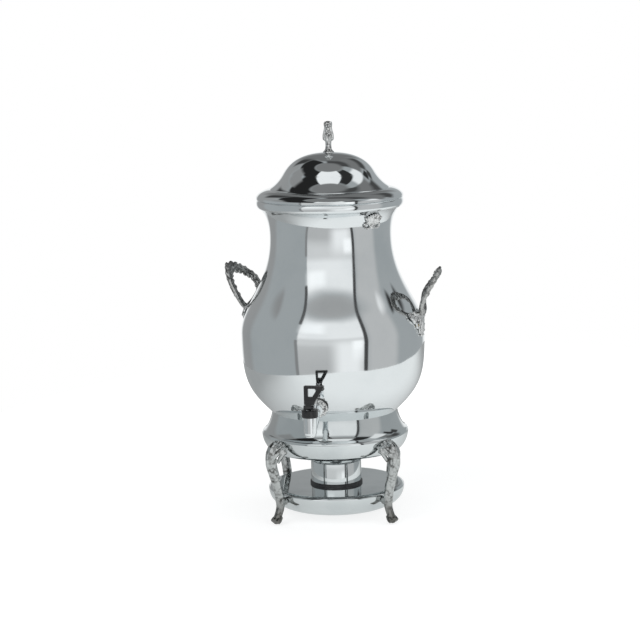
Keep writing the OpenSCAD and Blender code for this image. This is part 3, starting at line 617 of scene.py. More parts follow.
@dataclass(frozen=True)
class PolishedSilver(Finish):
    """Silver plate buffed to a mirror, with faint wiping marks."""

    colour: Rgb = (0.80, 0.825, 0.835)
    shade: Rgb = (0.70, 0.735, 0.75)
    roughness: float = 0.035
    hazed: float = 0.035
    scratched: float = 0.03
    wave: float = 0.05
    wave_depth: float = 6.0
    spread: float = 22.0

    def wire(self, coat: Coat) -> None:
        """Wire the mirror, its haze and the slight waves of spun sheet.

        Args:
            coat: The material's coat.
        """
        marks = coat.group(coat.shop.polish, {"Wave Scale": self.spread})
        coat.tint(marks["Haze"], 0.5, (self.colour, self.shade))
        rough = coat.grade(marks["Haze"], self.hazed, self.roughness)
        coat.put("Roughness", coat.grade(marks["Marks"], self.scratched, rough))
        coat.put("Metallic", 1.0)
        coat.emboss(marks["Relief"], self.wave, self.wave_depth)


@dataclass(frozen=True)
class CastSilver(Finish):
    """Silver plate over a casting, bright on top and tarnished in the hollows."""

    colour: Rgb
    tarnish: Rgb
    roughness: float = 0.14
    dulled: float = 0.3
    scale: float = 220.0
    # The next three fields darken the colour towards the floor as painted shade: its strength, and
    # the heights in mm where it is full and where it ends.
    floor_shade: float = 0.0
    floor_shade_low: float = 8.0
    floor_shade_high: float = 50.0

    def wire(self, coat: Coat) -> None:
        """Wire the bright metal, its tarnish and the painted shade that darkens it near the floor.

        Args:
            coat: The material's coat.
        """
        patina = coat.group(coat.shop.patina, {"Scale": self.scale, "Amount": 1.0})
        # Painted shade: the colour darkens towards the floor, mixed towards twice the tarnish
        # colour.
        low, high = self.floor_shade_low * MM, self.floor_shade_high * MM
        floor_shade = coat.span(coat.height(), low, high, self.floor_shade, 0.0)
        floor_shade_tone = tuple(2 * t for t in self.tarnish)
        floor_shaded_colour = coat.mix(floor_shade, full(self.colour), full(floor_shade_tone))
        coat.put("Base Color", coat.mix(patina["Tarnish"], floor_shaded_colour, full(self.tarnish)))
        coat.put("Roughness", coat.grade(patina["Tarnish"], self.dulled, self.roughness))
        coat.put("Metallic", 1.0)
        coat.emboss(patina["Relief"], 0.35, 0.5)


@dataclass(frozen=True)
class MachinedMetal(Finish):
    """Turned or drawn metal with fine tool marks."""

    colour: Rgb
    stain: Rgb
    roughness: float
    stained: float = 0.6
    dulled: float = 0.2
    tool_scale: float = 1600.0
    stain_scale: float = 60.0

    def wire(self, coat: Coat) -> None:
        """Wire the metal, its stains and its tool marks.

        Args:
            coat: The material's coat.
        """
        scales = {"Scratch Scale": self.tool_scale, "Haze Scale": self.stain_scale}
        marks = coat.group(coat.shop.polish, scales)
        coat.tint(marks["Haze"], self.stained, (self.colour, self.stain))
        coat.put("Roughness", coat.grade(marks["Haze"], self.dulled, self.roughness))
        coat.put("Metallic", 1.0)
        coat.emboss(marks["Marks"], 0.3, 0.2)


@dataclass(frozen=True)
class Moulded(Finish):
    """Moulded plastic, enamel or rubber with a fine grain and handling wear."""

    colour: Rgb
    worn: Rgb
    roughness: float
    grain: float = 1200.0
    depth: float = 0.1
    wear: float = 0.7
    wear_scale: float = 80.0
    dulled: float = 0.18

    def wire(self, coat: Coat) -> None:
        """Wire the colour, the wear and the grain.

        Args:
            coat: The material's coat.
        """
        marks = coat.group(coat.shop.polish, {"Haze Scale": self.wear_scale})
        coat.tint(marks["Haze"], self.wear, (self.colour, self.worn))
        coat.put("Roughness", coat.grade(marks["Haze"], self.dulled, self.roughness))
        coat.emboss(coat.noise(coat.place(), self.grain, 2.0), 0.3, self.depth)


@dataclass(frozen=True)
class Braid(Finish):
    """Braided cotton cord, charred at its top."""

    colour: Rgb = (0.8, 0.76, 0.66)
    charred: Rgb = (0.05, 0.045, 0.04)
    char_low: float = 84.5
    char_high: float = 88.5
    # How dark the grooves between the strands are painted, as painted shade.
    strand_shade: float = 0.7

    def wire(self, coat: Coat) -> None:
        """Wire the strands, the painted shade in the grooves between them and the burnt end.

        Args:
            coat: The material's coat.
        """
        strands = coat.add(
            "ShaderNodeTexWave",
            {"Vector": coat.place(), "Scale": 260.0, "Distortion": 3.0, "Detail": 2.0},
            bands_direction="DIAGONAL",
        ).outputs["Fac"]
        burnt = coat.span(coat.height(), self.char_low * MM, self.char_high * MM)
        shaded_strand = tuple(self.strand_shade * c for c in self.colour)
        cotton = coat.mix(strands, full(shaded_strand), full(self.colour))
        coat.put("Base Color", coat.mix(burnt, cotton, full(self.charred)))
        coat.put("Roughness", 0.9)
        coat.emboss(strands, 0.7, 0.4)


class FinishShop:
    """Makes each finish once and keeps it."""

    def __init__(self) -> None:
        """Build the shared groups."""
        self.polish = Groups.polish()
        self.patina = Groups.patina()
        self.made: dict[str, bpy.types.Material] = {}

    def get(self, finish: Finish) -> bpy.types.Material:
        """Get a finish's material.

        Args:
            finish: The finish.

        Returns:
            Its material, made at the first call.
        """
        if finish.name not in self.made:
            self.made[finish.name] = finish.build(self)
        return self.made[finish.name]

    def dress(self, piece: Piece, finish: Finish) -> None:
        """Give a piece its finish."""
        piece.data.materials.clear()
        piece.data.materials.append(self.get(finish))

    def dress_node(self, node: str, finish: Finish) -> None:
        """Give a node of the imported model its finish, in its own material slots."""
        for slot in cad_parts[node].material_slots:
            slot.material = self.get(finish)


VESSEL_SILVER = PolishedSilver("vessel_silver", roughness=0.05)
LID_SILVER = PolishedSilver("lid_silver", wave=0.03, spread=18.0)
# The stand's silver is a darker copy of the vessel's silver: painted shade for the shaded floor
# that it mirrors near the tray.
SHADED_STAND_SILVER = PolishedSilver(
    "shaded_stand_silver", (0.7, 0.73, 0.735), (0.58, 0.62, 0.63), roughness=0.05, wave=0.04, spread=30.0
)
TAP_SILVER = PolishedSilver("tap_silver", roughness=0.08, wave=0.02, spread=60.0)
# The legs are darkened towards the floor as painted shade.
LEG_SILVER = CastSilver("leg_silver", (0.53, 0.545, 0.54), (0.08, 0.078, 0.072), floor_shade=0.95)
HANDLE_SILVER = CastSilver("handle_silver", (0.48, 0.48, 0.47), (0.05, 0.05, 0.047), 0.2)
TRIM_SILVER = CastSilver("trim_silver", (0.78, 0.785, 0.78), (0.07, 0.07, 0.066), scale=420.0)
INNER_SILVER = MachinedMetal("inner_silver", (0.62, 0.62, 0.61), (0.42, 0.42, 0.4), 0.35)
MACHINED_BRASS = MachinedMetal("machined_brass", (0.72, 0.56, 0.28), (0.4, 0.28, 0.12), 0.25)
DULL_STEEL = MachinedMetal("dull_steel", (0.36, 0.36, 0.37), (0.2, 0.19, 0.18), 0.35)
BRIGHT_STEEL = MachinedMetal("bright_steel", (0.62, 0.62, 0.63), (0.45, 0.45, 0.45), 0.2)
SEAL_RUBBER = Moulded("seal_rubber", (0.03, 0.03, 0.03), (0.07, 0.07, 0.07), 0.65, 900.0, 0.2)
LEVER_BLACK = Moulded("lever_black", (0.012, 0.012, 0.013), (0.028, 0.027, 0.027), 0.22)
# The burner's base ring is near black as painted shadow at the pot's foot.
SHADOW_RING_BLACK = Moulded("painted_shadow_black", (0.03, 0.03, 0.032), (0.08, 0.08, 0.08), 0.4)
WICK_COTTON = Braid("wick_cotton")

NODE_FINISHES: dict[Finish, tuple[str, ...]] = {
    INNER_SILVER: ("lid_flange", "finial_washer"),
    MACHINED_BRASS: ("finial_nut", "handle_bolts", "tap_shank_nut", "wick_tube"),
    SEAL_RUBBER: ("handle_washers", "tap_outer_seal", "tap_inner_seal", "tap_seat_cup"),
    DULL_STEEL: ("escutcheon_screws", "tap_lever_pin", "base_screws", "leg_screws", "tray_screws"),
    TAP_SILVER: ("tap_shank", "tap_body"),
    LEVER_BLACK: ("tap_bonnet", "tap_lever"),
    BRIGHT_STEEL: ("tap_stem",),
    SHADOW_RING_BLACK: ("burner_base_ring",),
    WICK_COTTON: ("wick",),
}


# ---- spun and cast pieces --------------------------------------------------


@dataclass
class SubAssembly:
    """A group of pieces that is built and dressed together."""

    shop: FinishShop
    pieces: list[Piece] = field(default_factory=list)

    def fit(self, piece: Piece, body: Body, finish: Finish, slot: Slot, *nodes: str) -> None:
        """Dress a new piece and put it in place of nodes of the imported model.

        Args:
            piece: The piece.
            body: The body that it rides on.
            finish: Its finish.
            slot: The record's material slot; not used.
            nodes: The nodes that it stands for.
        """
        self.shop.dress(piece, finish)
        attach(piece, body.value)
        if nodes:
            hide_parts(*nodes)
        self.pieces.append(piece)

    def build(self) -> None:
        """Build the pieces."""
        raise NotImplementedError

    def report(self) -> None:
        """Log the pieces."""
        for piece in self.pieces:
            log.info("%s: %d faces", piece.name, len(piece.data.polygons))


@dataclass
class SpunVessel(SubAssembly):
    """The vessel, its rolled rim band, the stand's collar and the tray, spun from sheet."""

    steps: int = 192
    wall: float = 1.6
    band_r: float = 98.5
    collar_wall: float = 1.8
    collar_hole: float = 79.5
    deck: tuple[float, float] = (92.7, 157.1)
    deck_gap: float = 2.0
    tray_wall: float = 1.5
    tray_corner: float = 76.5
    plate_r: float = 95.0
    plate_z: float = 44.0

    @staticmethod
    def inside(points: Profile, wall: float) -> Profile:
        """Set an outline in by a wall's thickness and turn it round."""
        return [(r - wall, z) for r, z in reversed(points)]

    def vessel(self) -> Profile:
        """Draw the vessel's outline with its inside.

        Returns:
            The outline, in mm.
        """
        floor = WAIST_Z + self.wall
        inner = [(r, max(z, floor)) for r, z in self.inside(VESSEL.points, self.wall)]
        return [(0, WAIST_Z), *VESSEL.points, *inner, (0, floor)]

    def band(self) -> Profile:
        """Draw the rolled band's outline."""
        roll = ((MOUTH_R, MOUTH_Z), (112.5, 471), (112.5, 483.5), (107.5, BAND_TOP))
        return [(self.band_r, MOUTH_Z), *bezier(roll, 16), (self.band_r, BAND_TOP)]

    def collar(self) -> Profile:
        """Draw the collar's outline, with the deck that the vessel stands on.

        Returns:
            The outline, in mm.
        """
        low = self.deck[1]
        under = self.inside(COLLAR.points, self.collar_wall)
        skirt = [point for point in under if point[1] < low - self.deck_gap]
        hole = self.collar_hole
        return [(hole, low), *reversed([self.deck, *skirt]), *COLLAR.points, (hole, WAIST_Z)]

    def tub(self) -> Profile:
        """Draw the tray's outline with its inside.

        Returns:
            The outline, in mm.
        """
        floor = PAN_LOW + self.tray_wall
        inner = [point for point in self.inside(PAN.points, self.tray_wall) if point[1] > floor]
        return [(0, PAN_LOW), *PAN.points, *inner, (self.tray_corner, floor), (0, floor)]

    def plate(self) -> Profile:
        """Draw the outline of the plate that covers the tray.

        Returns:
            The outline, in mm.
        """
        r, z = self.plate_r, self.plate_z
        low = z - self.tray_wall
        lip = bezier(((r, z), (100, z), (103, 43), (TRAY_R, TRAY_Z)), 12)
        return [(0, z), *lip, (102.5, TRAY_Z), (101, 41.5), (r, low), (0, low)]

    def build(self) -> None:
        """Spin the pieces."""
        for name, line, ring, finish, nodes in (
            ("spun_vessel", self.vessel(), False, VESSEL_SILVER, ("urn_bowl", "urn_shoulder")),
            ("rolled_band", self.band(), True, LID_SILVER, ("rim_band",)),
            ("spun_collar", self.collar(), True, SHADED_STAND_SILVER, ("stand_collar",)),
            ("tray_tub", self.tub(), False, SHADED_STAND_SILVER, ("tray_pan",)),
            ("tray_top", self.plate(), False, SHADED_STAND_SILVER, ("tray_plate",)),
        ):
            piece = Bench.lathe(line, self.steps, name, ring)
            self.fit(piece, Body.URN, finish, Slot.SHEET, *nodes)


@dataclass
class SpunLid(SubAssembly):
    """The domed lid."""

    steps: int = 192
    wall: float = 1.44
    brim_share: float = 1.35
    dome_r: float = 55.0
    mouth_r: float = 98.6
    lip_r: float = 99.1

    def build(self) -> None:
        """Spin the lid with its inside."""
        under = [
            (r, z - self.wall * (self.brim_share if r > self.dome_r else 1.0))
            for r, z in LID.points
            if r <= self.mouth_r
        ]
        brim = [(BRIM_R, BAND_TOP), (self.lip_r, BAND_TOP)]
        lid = Bench.lathe([*reversed(LID.points), *brim, *under], self.steps, "spun_lid")
        self.fit(lid, Body.LID, LID_SILVER, Slot.SHEET, "lid_dome", "lid_brim")


@dataclass
class Burner(SubAssembly):
    """The spirit burner's pot, lid and snuffer, spun from sheet."""

    steps: int = 128
    cap_steps: int = 64
    pot: Profile = (
        (0, 44.2), (38.1, 44.2), (38.5, 44.6), (38.5, 78.9), (38.1, 79.7), (37.4, 80),
        (37.1, 79.6), (37.1, 46), (0, 46),
    )
    lid: Profile = (
        (7.05, 81.6), (36.5, 81.6), (38.6, 81.4), (39.3, 80.9), (39.5, 80.4), (39.3, 80),
        (36.8, 80), (36.8, 76), (35.4, 76), (35.4, 80), (7.05, 80),
    )
    cap: Profile = (
        (8.5, 81.8), (9.4, 81.8), (9.5, 82), (9.5, 90.2), (9.1, 91.2), (8.2, 91.6), (3, 91.7),
        (2.4, 92.4), (2.6, 93), (3.3, 93.7), (3.3, 94.5), (2.4, 95.4), (0, 95.8), (0, 90.6),
        (8.5, 90.6),
    )

    def build(self) -> None:
        """Spin the pieces."""
        for name, line, steps, ring, body, node in (
            ("spun_pot", self.pot, self.steps, False, Body.BURNER, "burner_pot"),
            ("spun_burner_lid", self.lid, self.steps, True, Body.BURNER_LID, "burner_lid"),
            ("spun_snuffer", self.cap, self.cap_steps, True, Body.SNUFFER, "snuffer_cap"),
        ):
            piece = Bench.lathe(line, steps, name, ring)
            self.fit(piece, body, SHADED_STAND_SILVER, Slot.SHEET, node)


@dataclass
class ReturnSpring(SubAssembly):
    """The coil spring inside the tap, wound at one length; in the tap it shortens as the stem
    rises.
    """

    reach: float = 174.0
    radius: float = 4.6
    wire: float = 0.5
    turns: int = 7
    knots: int = 12
    travel: float = 3.2

    def build(self) -> None:
        """Wind the spring between the seat cup and the tap's top."""
        low, high = (corner[2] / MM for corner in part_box("tap_spring"))
        rise = (high - low - 2 * self.wire) / (self.turns * self.knots)
        line = []
        for k in range(self.turns * self.knots + 1):
            across, along = compass(360 * k / self.knots)
            x, y = self.radius * across, self.radius * along - self.reach
            line.append((x, y, low + self.wire + rise * k, self.wire))
        Bench.rod(line, sides=2)
        piece = Bench.named("return_spring")
        Bench.settle(piece)
        self.fit(piece, Body.URN, BRIGHT_STEEL, Slot.SPRING, "tap_spring")
        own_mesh(piece)


@dataclass
class Rosette(SubAssembly):
    """The cast leafy plate behind the tap."""

    wall_z: float = 188.0
    tilt: float = 24.0
    proud: float = 3.2
    boss: Profile = (
        (7.05, 0), (15.4, 0), (16, 0.8), (15, 2.0), (12.6, 2.5), (11.4, 3.6), (9.8, 4.0),
        (7.05, 4.0),
    )
    leaf_count: int = 12
    leaf: tuple[Point, ...] = ((10.5, 2.2, 1.3), (13.6, 2.6, 2.1), (16.0, 1.7, 1.7))

    def build(self) -> None:
        """Cast the rosette and set it square to the shank."""
        shapes = [Bench.lathe(self.boss, 64, ring=True)]
        for k in range(self.leaf_count):
            across, along = compass(360 / self.leaf_count * (k + 0.5))
            shapes.append(Bench.rod([(r * across, r * along, z, w) for r, z, w in self.leaf]))
        piece = Bench.cast("cast_rosette", shapes, 0.4)
        wall = (0, -VESSEL.radius(self.wall_z) * MM, self.wall_z * MM)
        piece.data.transform(
            Matrix.Translation(wall)
            @ Matrix.Rotation(math.radians(90 + self.tilt), 4, "X")
            @ Matrix.Translation((0, 0, self.proud * MM))
        )
        self.fit(piece, Body.URN, TRIM_SILVER, Slot.CAST, "tap_escutcheon")


@dataclass
class Legs(SubAssembly):
    """The four cast legs of the stand, modelled for a leg that stands along X."""

    angles: tuple[float, ...] = (-36.0, 54.0, 144.0, -126.0)
    names: tuple[str, ...] = (
        "leg_front_left", "leg_front_right", "leg_back_right", "leg_back_left",
    )
    grain: float = 0.75
    stem: Line = (
        (120, 0, 124, 6), (127, 0, 117, 8), (130.5, 0, 106, 8.6), (130, 0, 94, 8.2),
        (126, 0, 79, 7.8), (121, 0, 64, 7.6), (117.2, 0, 50, 7.4), (115.2, 0, 37, 7.2),
        (115, 0, 26, 6.4), (118, 0, 17, 6.0), (121, 0, 10.5, 6.2),
    )
    lug: Line = ((104.6, 0, 33, 6), (108, 0, 33, 6), (114, 0, 33, 6.5))
    heel: Line = ((118, 0, 9, 6.4), (123, 0, 7, 6.6), (127.5, 0, 5.2, 4.8))
    toe: Line = ((118, 4, 12, 3.6), (123, 5.5, 7, 4.2), (126.5, 5.5, 4.4, 3.8))
    scroll: Line = (
        (116.5, 15.0, 117, 2.8), (119.0, 14.5, 111, 3.2), (122.5, 11.5, 104, 3.2),
        (125.0, 8.5, 97, 2.6),
    )
    side_leaf: Line = (
        (134.5, 4.6, 105, 2.0), (134, 5.4, 93, 2.2), (129.6, 4.2, 78, 1.9), (126, 2.6, 64, 1.3),
    )
    leaf: Line = (
        (130, 0, 121, 2.6), (136, 0, 111, 2.8), (138, 0, 100, 2.6), (136.4, 0, 88, 2.4),
        (131, 0, 74, 2.0), (127, 0, 60, 1.4),
    )
    cap_z: float = 126.0
    cap_proud: float = 3.0
    cap_step: float = 5.2

    def limb(self) -> list[Piece]:
        """Make the curved stem, the lug on the tray, the heel and two toes.

        Returns:
            The shapes to melt together.
        """
        lines = (self.stem, self.lug, self.heel, sided(self.toe, -1), self.toe)
        return [Bench.rod(line) for line in lines]

    def cap(self) -> list[Piece]:
        """Make the leafy cap that lies on the collar.

        Returns:
            The shapes to melt together.
        """
        shapes = []
        for k in range(-3, 4):
            top = self.cap_z - k * k
            y = self.cap_step * k
            x = math.sqrt(max((COLLAR.radius(top) + self.cap_proud) ** 2 - y * y, 1))
            line = (
                (134.5, 1.1 * k, 98, 2.6),
                (131.5 - 0.3 * k * k, 2.88 * k, 109, 3.8),
                (123.5 - 0.35 * k * k, 4.0 * k, 118.5 - 0.3 * k * k, 3.6),
                (x, y, top, 2.3),
            )
            shapes.append(Bench.rod(line))
            shapes.append(Bench.ball((x + 0.5, y, top + 0.4), (2.7, 2.5, 2.5)))
        return shapes

    def knee(self) -> list[Piece]:
        """Make the scrolls under the cap, the leaves down the knee and two rings.

        Returns:
            The shapes to melt together.
        """
        shapes = []
        for side in (-1, 1):
            shapes.append(Bench.rod(sided(self.scroll, side)))
            shapes.append(Bench.ball((115.5, side * 15.4, 112.5), (3.0, 3.6, 3.6)))
            shapes.append(Bench.rod(sided(self.side_leaf, side)))
        shapes.append(Bench.rod(self.leaf))
        for z, r in ((47, 2.8), (41, 2.0)):
            shapes.append(Bench.ball((119.4, 0, z), (r + 2.2, 6.2, r)))
        return shapes

    def build(self) -> None:
        """Cast one leg and place four of it."""
        shapes = self.limb() + self.cap() + self.knee()
        pattern = Bench.cast("leg_pattern", shapes, self.grain, 3)
        for name, angle in zip(self.names, self.angles):
            turn = Matrix.Rotation(math.radians(angle - 90), 4, "Z")
            leg = Bench.copy(pattern, f"cast_{name}", turn)
            self.fit(leg, Body.URN, LEG_SILVER, Slot.CAST, name)
        bpy.data.objects.remove(pattern)


@dataclass
class Handles(SubAssembly):
    """The two loop handles and their leafy mounts.

    The shapes are made for a mount that faces along X. The right handle is then
    turned to the front, and the left one, its mirror image, to the back. The
    loop's stations are an angle, a radius from the urn's axis, a height and the
    bar's thickness.
    """

    turn: float = 8.0
    middle: float = 1.0
    grain: float = 0.55
    loop: Line = (
        (1.5, 142.4, 312.5, 4.0), (-5.5, 148.6, 329.9, 4.0), (-5.0, 160.1, 352.8, 4.4),
        (-2.0, 166.1, 367.1, 5.2), (1.0, 168.0, 374.0, 5.8), (7.0, 161.9, 370.2, 5.0),
        (14.5, 157.0, 360.2, 4.8), (17.5, 147.6, 349.1, 4.0), (16.5, 140.3, 336.7, 4.2),
        (12.0, 139.3, 323.7, 4.2), (6.5, 142.4, 313.7, 4.0),
    )
    half_gap: float = 1.7
    wire_share: float = 0.84
    leafy: range = range(1, 8)
    root_z: float = 311.0
    ribs: tuple[tuple[float, float], ...] = (
        (-10.5, 300), (-7.5, 292), (-4.5, 284), (-1.5, 278.5),
        (1.5, 278.5), (4.5, 284), (7.5, 292), (10.5, 300),
    )

    def bar(self) -> list[Piece]:
        """Make the loop's bar, as two wires side by side, with its leaves.

        Returns:
            The shapes to melt together.
        """
        turns = [compass(station[0]) for station in self.loop]
        line = [Vector((r * c, r * s, z)) for (c, s), (_, r, z, _) in zip(turns, self.loop)]
        thick = [station[3] for station in self.loop]
        middle = sum(line, Vector()) / len(line)
        shapes = []
        for step in (-self.half_gap, self.half_gap):
            moved = [point + (point - middle).normalized() * step for point in line]
            wire = [(*point, self.wire_share * r) for point, r in zip(moved, thick)]
            shapes.append(Bench.rod(wire, closed=True))
        for i in self.leafy:
            run = line[i + 1] - line[i]
            rim = (line[i] - middle).normalized()
            for share in (0.0, 0.5):
                r = thick[i] + (thick[i + 1] - thick[i]) * share
                shapes += self.leaves(line[i] + run * share, run.normalized(), rim, r)
        return shapes

    @staticmethod
    def leaves(spot: Vector, along: Vector, rim: Vector, r: float) -> list[Piece]:
        """Make four leaves at one spot of the bar.

        Args:
            spot: The spot on the bar's middle line, in mm.
            along: The bar's direction there.
            rim: The direction out of the loop.
            r: The bar's thickness there, in mm.

        Returns:
            A leaf on the outside, one on the inside and a short one on each face.
        """
        face = along.cross(rim).normalized()
        away = face.cross(along).normalized()
        if away.dot(rim) < 0:
            away = -away
        shapes = []
        for sign, length in ((1, 8.5), (-1, 7.0)):
            start = spot + away * sign * r * 0.7
            tip = spot + along * length + away * sign * r * 1.38
            bow = (start + tip) / 2 + away * sign * r * 0.3
            shapes.append(Bench.rod(((*start, 2.1), (*bow, 2.4), (*tip, 1.3))))
        for sign in (-1, 1):
            low = spot + face * sign * r * 0.6
            high = spot + along * 5 + face * sign * r * 0.75
            shapes.append(Bench.rod(((*low, 1.2), (*high, 1.5))))
        return shapes

    def mount(self) -> list[Piece]:
        """Make the leafy mount, as ribs that spread over the belly.

        Returns:
            The shapes to melt together.
        """
        shapes = []
        square = 90 + self.middle
        for fan, low in self.ribs:
            root = VESSEL.on_wall(square + fan * 0.5, self.root_z, 3.6)
            middle = VESSEL.on_wall(square + fan, (low + self.root_z) / 2 + 1, 3.2)
            tip = VESSEL.on_wall(square + fan * 0.88, low, 2.0)
            shapes.append(Bench.rod(((*root, 3.2), (*middle, 2.6), (*tip, 1.5))))
            shapes.append(Bench.ball(tip, (2.4, 2.4, 2.4)))
        for fan in (-11, 11):
            marks = ((1.0, 314, 3.2), (1.12, 308, 3.6), (0.9, 303, 3.4))
            points = [VESSEL.on_wall(square + fan * f, z, proud) for f, z, proud in marks]
            shapes.append(Bench.rod([(*point, 2.4) for point in points]))
            shapes.append(Bench.ball(points[-1], (3.4, 3.4, 3.4)))
        saddle = [VESSEL.on_wall(square + fan, self.root_z, 4.4) for fan in (-9, -4, 0, 4, 9)]
        shapes.append(Bench.rod([(*point, 3.9) for point in saddle]))
        return shapes

    def build(self) -> None:
        """Cast one handle and mount, and place both pairs."""
        turned = Matrix.Rotation(math.radians(self.turn), 4, "Z")
        mirror = Matrix.Scale(-1, 4, (1, 0, 0))
        places = {"right": turned.inverted(), "left": mirror @ turned}
        for kind, shapes, finish in (
            ("handle", self.bar(), HANDLE_SILVER),
            ("handle_mount", self.mount(), TRIM_SILVER),
        ):
            pattern = Bench.cast(f"{kind}_pattern", shapes, self.grain)
            for side, place in places.items():
                piece = Bench.copy(pattern, f"cast_{kind}_{side}", place)
                self.fit(piece, Body.URN, finish, Slot.CAST, f"{kind}_{side}")
            bpy.data.objects.remove(pattern)


@dataclass
class RimOrnaments(SubAssembly):
    """Two cast shells under the rim."""

    turns: tuple[float, ...] = (52.0, 232.0)
    grain: float = 0.42
    foot_z: float = 446.5
    top_z: float = 468.0
    spread: float = 2.05
    curl: tuple[tuple[float, float], ...] = (
        (2, 446.5), (5.2, 445), (8.2, 447.5), (8.4, 451.5), (6.0, 452.0),
    )

    def shell(self) -> list[Piece]:
        """Make one shell at the front.

        Returns:
            The shapes to melt together.
        """
        shapes = []
        for k in range(-4, 5):
            lean = self.spread * k
            top = self.top_z - 0.5 * abs(k) ** 1.7
            root = VESSEL.on_wall(lean * 0.15, self.foot_z, 1.6)
            middle = VESSEL.on_wall(lean * 0.75, 457 - 0.2 * abs(k), 2.8)
            tip = VESSEL.on_wall(lean, top - 1.6, 2.2)
            shapes.append(Bench.rod(((*root, 1.3), (*middle, 1.9), (*tip, 1.6))))
            shapes.append(Bench.ball(tip, (1.9, 1.9, 1.9), 10))
        shapes.append(Bench.ball(VESSEL.on_wall(0, self.foot_z, 2.2), (3.4, 2.4, 2.8)))
        for side in (-1, 1):
            curl = [VESSEL.on_wall(side * turn, z, 2.0) for turn, z in self.curl]
            shapes.append(Bench.rod([(*point, 1.5) for point in curl]))
        return shapes

    def build(self) -> None:
        """Cast one shell, place two and join them as one piece."""
        pattern = Bench.cast("shell_pattern", self.shell(), self.grain)
        shells = [
            Bench.copy(pattern, f"shell_{i}", Matrix.Rotation(math.radians(turn), 4, "Z"))
            for i, turn in enumerate(self.turns)
        ]
        bpy.data.objects.remove(pattern)
        Bench.pick(shells)
        bpy.ops.object.join()
        whole = Bench.named("cast_rim_ornaments")
        self.fit(whole, Body.URN, TRIM_SILVER, Slot.CAST, "rim_ornaments")


@dataclass
class Finial(SubAssembly):
    """The cast finial on the lid, with heights from its foot."""

    foot: float = CROWN_Z
    grain: float = 0.42
    steps: int = 40
    stem: Profile = (
        (0, -9.5), (3, -9.5), (3, -0.4), (8.4, -0.4), (8.4, 1.2), (6.4, 2.6), (5.0, 5.0),
        (4.4, 9.0), (4.5, 14.0), (5.2, 18.0), (4.2, 22.0), (3.8, 28.0), (4.2, 33.0),
        (3.6, 37.0), (4.6, 41.0), (5.0, 44.0), (3.4, 46.4), (0, 47.0),
    )
    scroll: Line = (
        (3.2, 0, 17.5, 1.7), (5.9, 0, 20, 2.1), (6.3, 0, 25.5, 2.2), (5.3, 0, 31, 2.0),
        (4.2, 0, 37, 1.8), (4.6, 0, 42.5, 2.0), (4.2, 0, 45, 1.8),
    )
    leaf: Line = ((1.6, 3.2, 16, 1.4), (2.4, 4.6, 24, 1.7), (1.6, 3.6, 33, 1.3))
    petal: tuple[Point, ...] = ((3.4, 38, 1.2), (5.0, 42, 1.5), (4.4, 45.6, 1.3))

    def raised(self, line: Sequence[Station]) -> list[Station]:
        """Lift a line from the foot's level to its place on the lid."""
        return [(x, y, self.foot + z, r) for x, y, z, r in line]

    def shapes(self) -> list[Piece]:
        """Make the turned stem, the scrolls and the leafy top.

        Returns:
            The shapes to melt together.
        """
        shapes = [Bench.lathe([(r, self.foot + z) for r, z in self.stem], self.steps)]
        for side in (-1, 1):
            shapes.append(Bench.rod(self.raised(sided(self.scroll, side, 0))))
            shapes.append(Bench.ball((side * 6.0, 0, self.foot + 20.5), (2.6, 3.2, 2.8)))
            for lean in (-1, 1):
                leaf = sided(sided(self.leaf, side, 0), lean)
                shapes.append(Bench.rod(self.raised(leaf)))
        for turn in range(0, 360, 45):
            c, s = compass(turn + 22)
            petal = [(r * c, r * s, z, width) for r, z, width in self.petal]
            shapes.append(Bench.rod(self.raised(petal)))
        return shapes

    def build(self) -> None:
        """Cast the finial."""
        piece = Bench.cast("cast_finial", self.shapes(), self.grain)
        self.fit(piece, Body.LID, TRIM_SILVER, Slot.CAST, "finial")


@dataclass
class PolishedParts(SubAssembly):
    """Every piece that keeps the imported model's own shape."""

    def build(self) -> None:
        """Dress the nodes."""
        for finish, nodes in NODE_FINISHES.items():
            for node in nodes:
                self.shop.dress_node(node, finish)
            log.info("%s: %s", finish.name, ", ".join(nodes))


# ---- studio ----------------------------------------------------------------


@dataclass(frozen=True)
class Card:
    """A soft-edged card in the studio, by its bearing from the camera's side.

    Angles are in degrees: left and right from the camera, low and high from
    the horizon. The tone is the card's brightness, soft the blur of its upright
    edges and fade the blur of its level ones, or 0 for the same blur.
    """

    left: float
    right: float
    low: float
    high: float
    tone: float
    soft: float = 3.0
    fade: float = 0.0


@dataclass(frozen=True)
class Lamp:
    """A softbox that lights but isn't mirrored, in metres and watts."""

    name: str
    place: Point
    target: Point
    size: float
    power: float


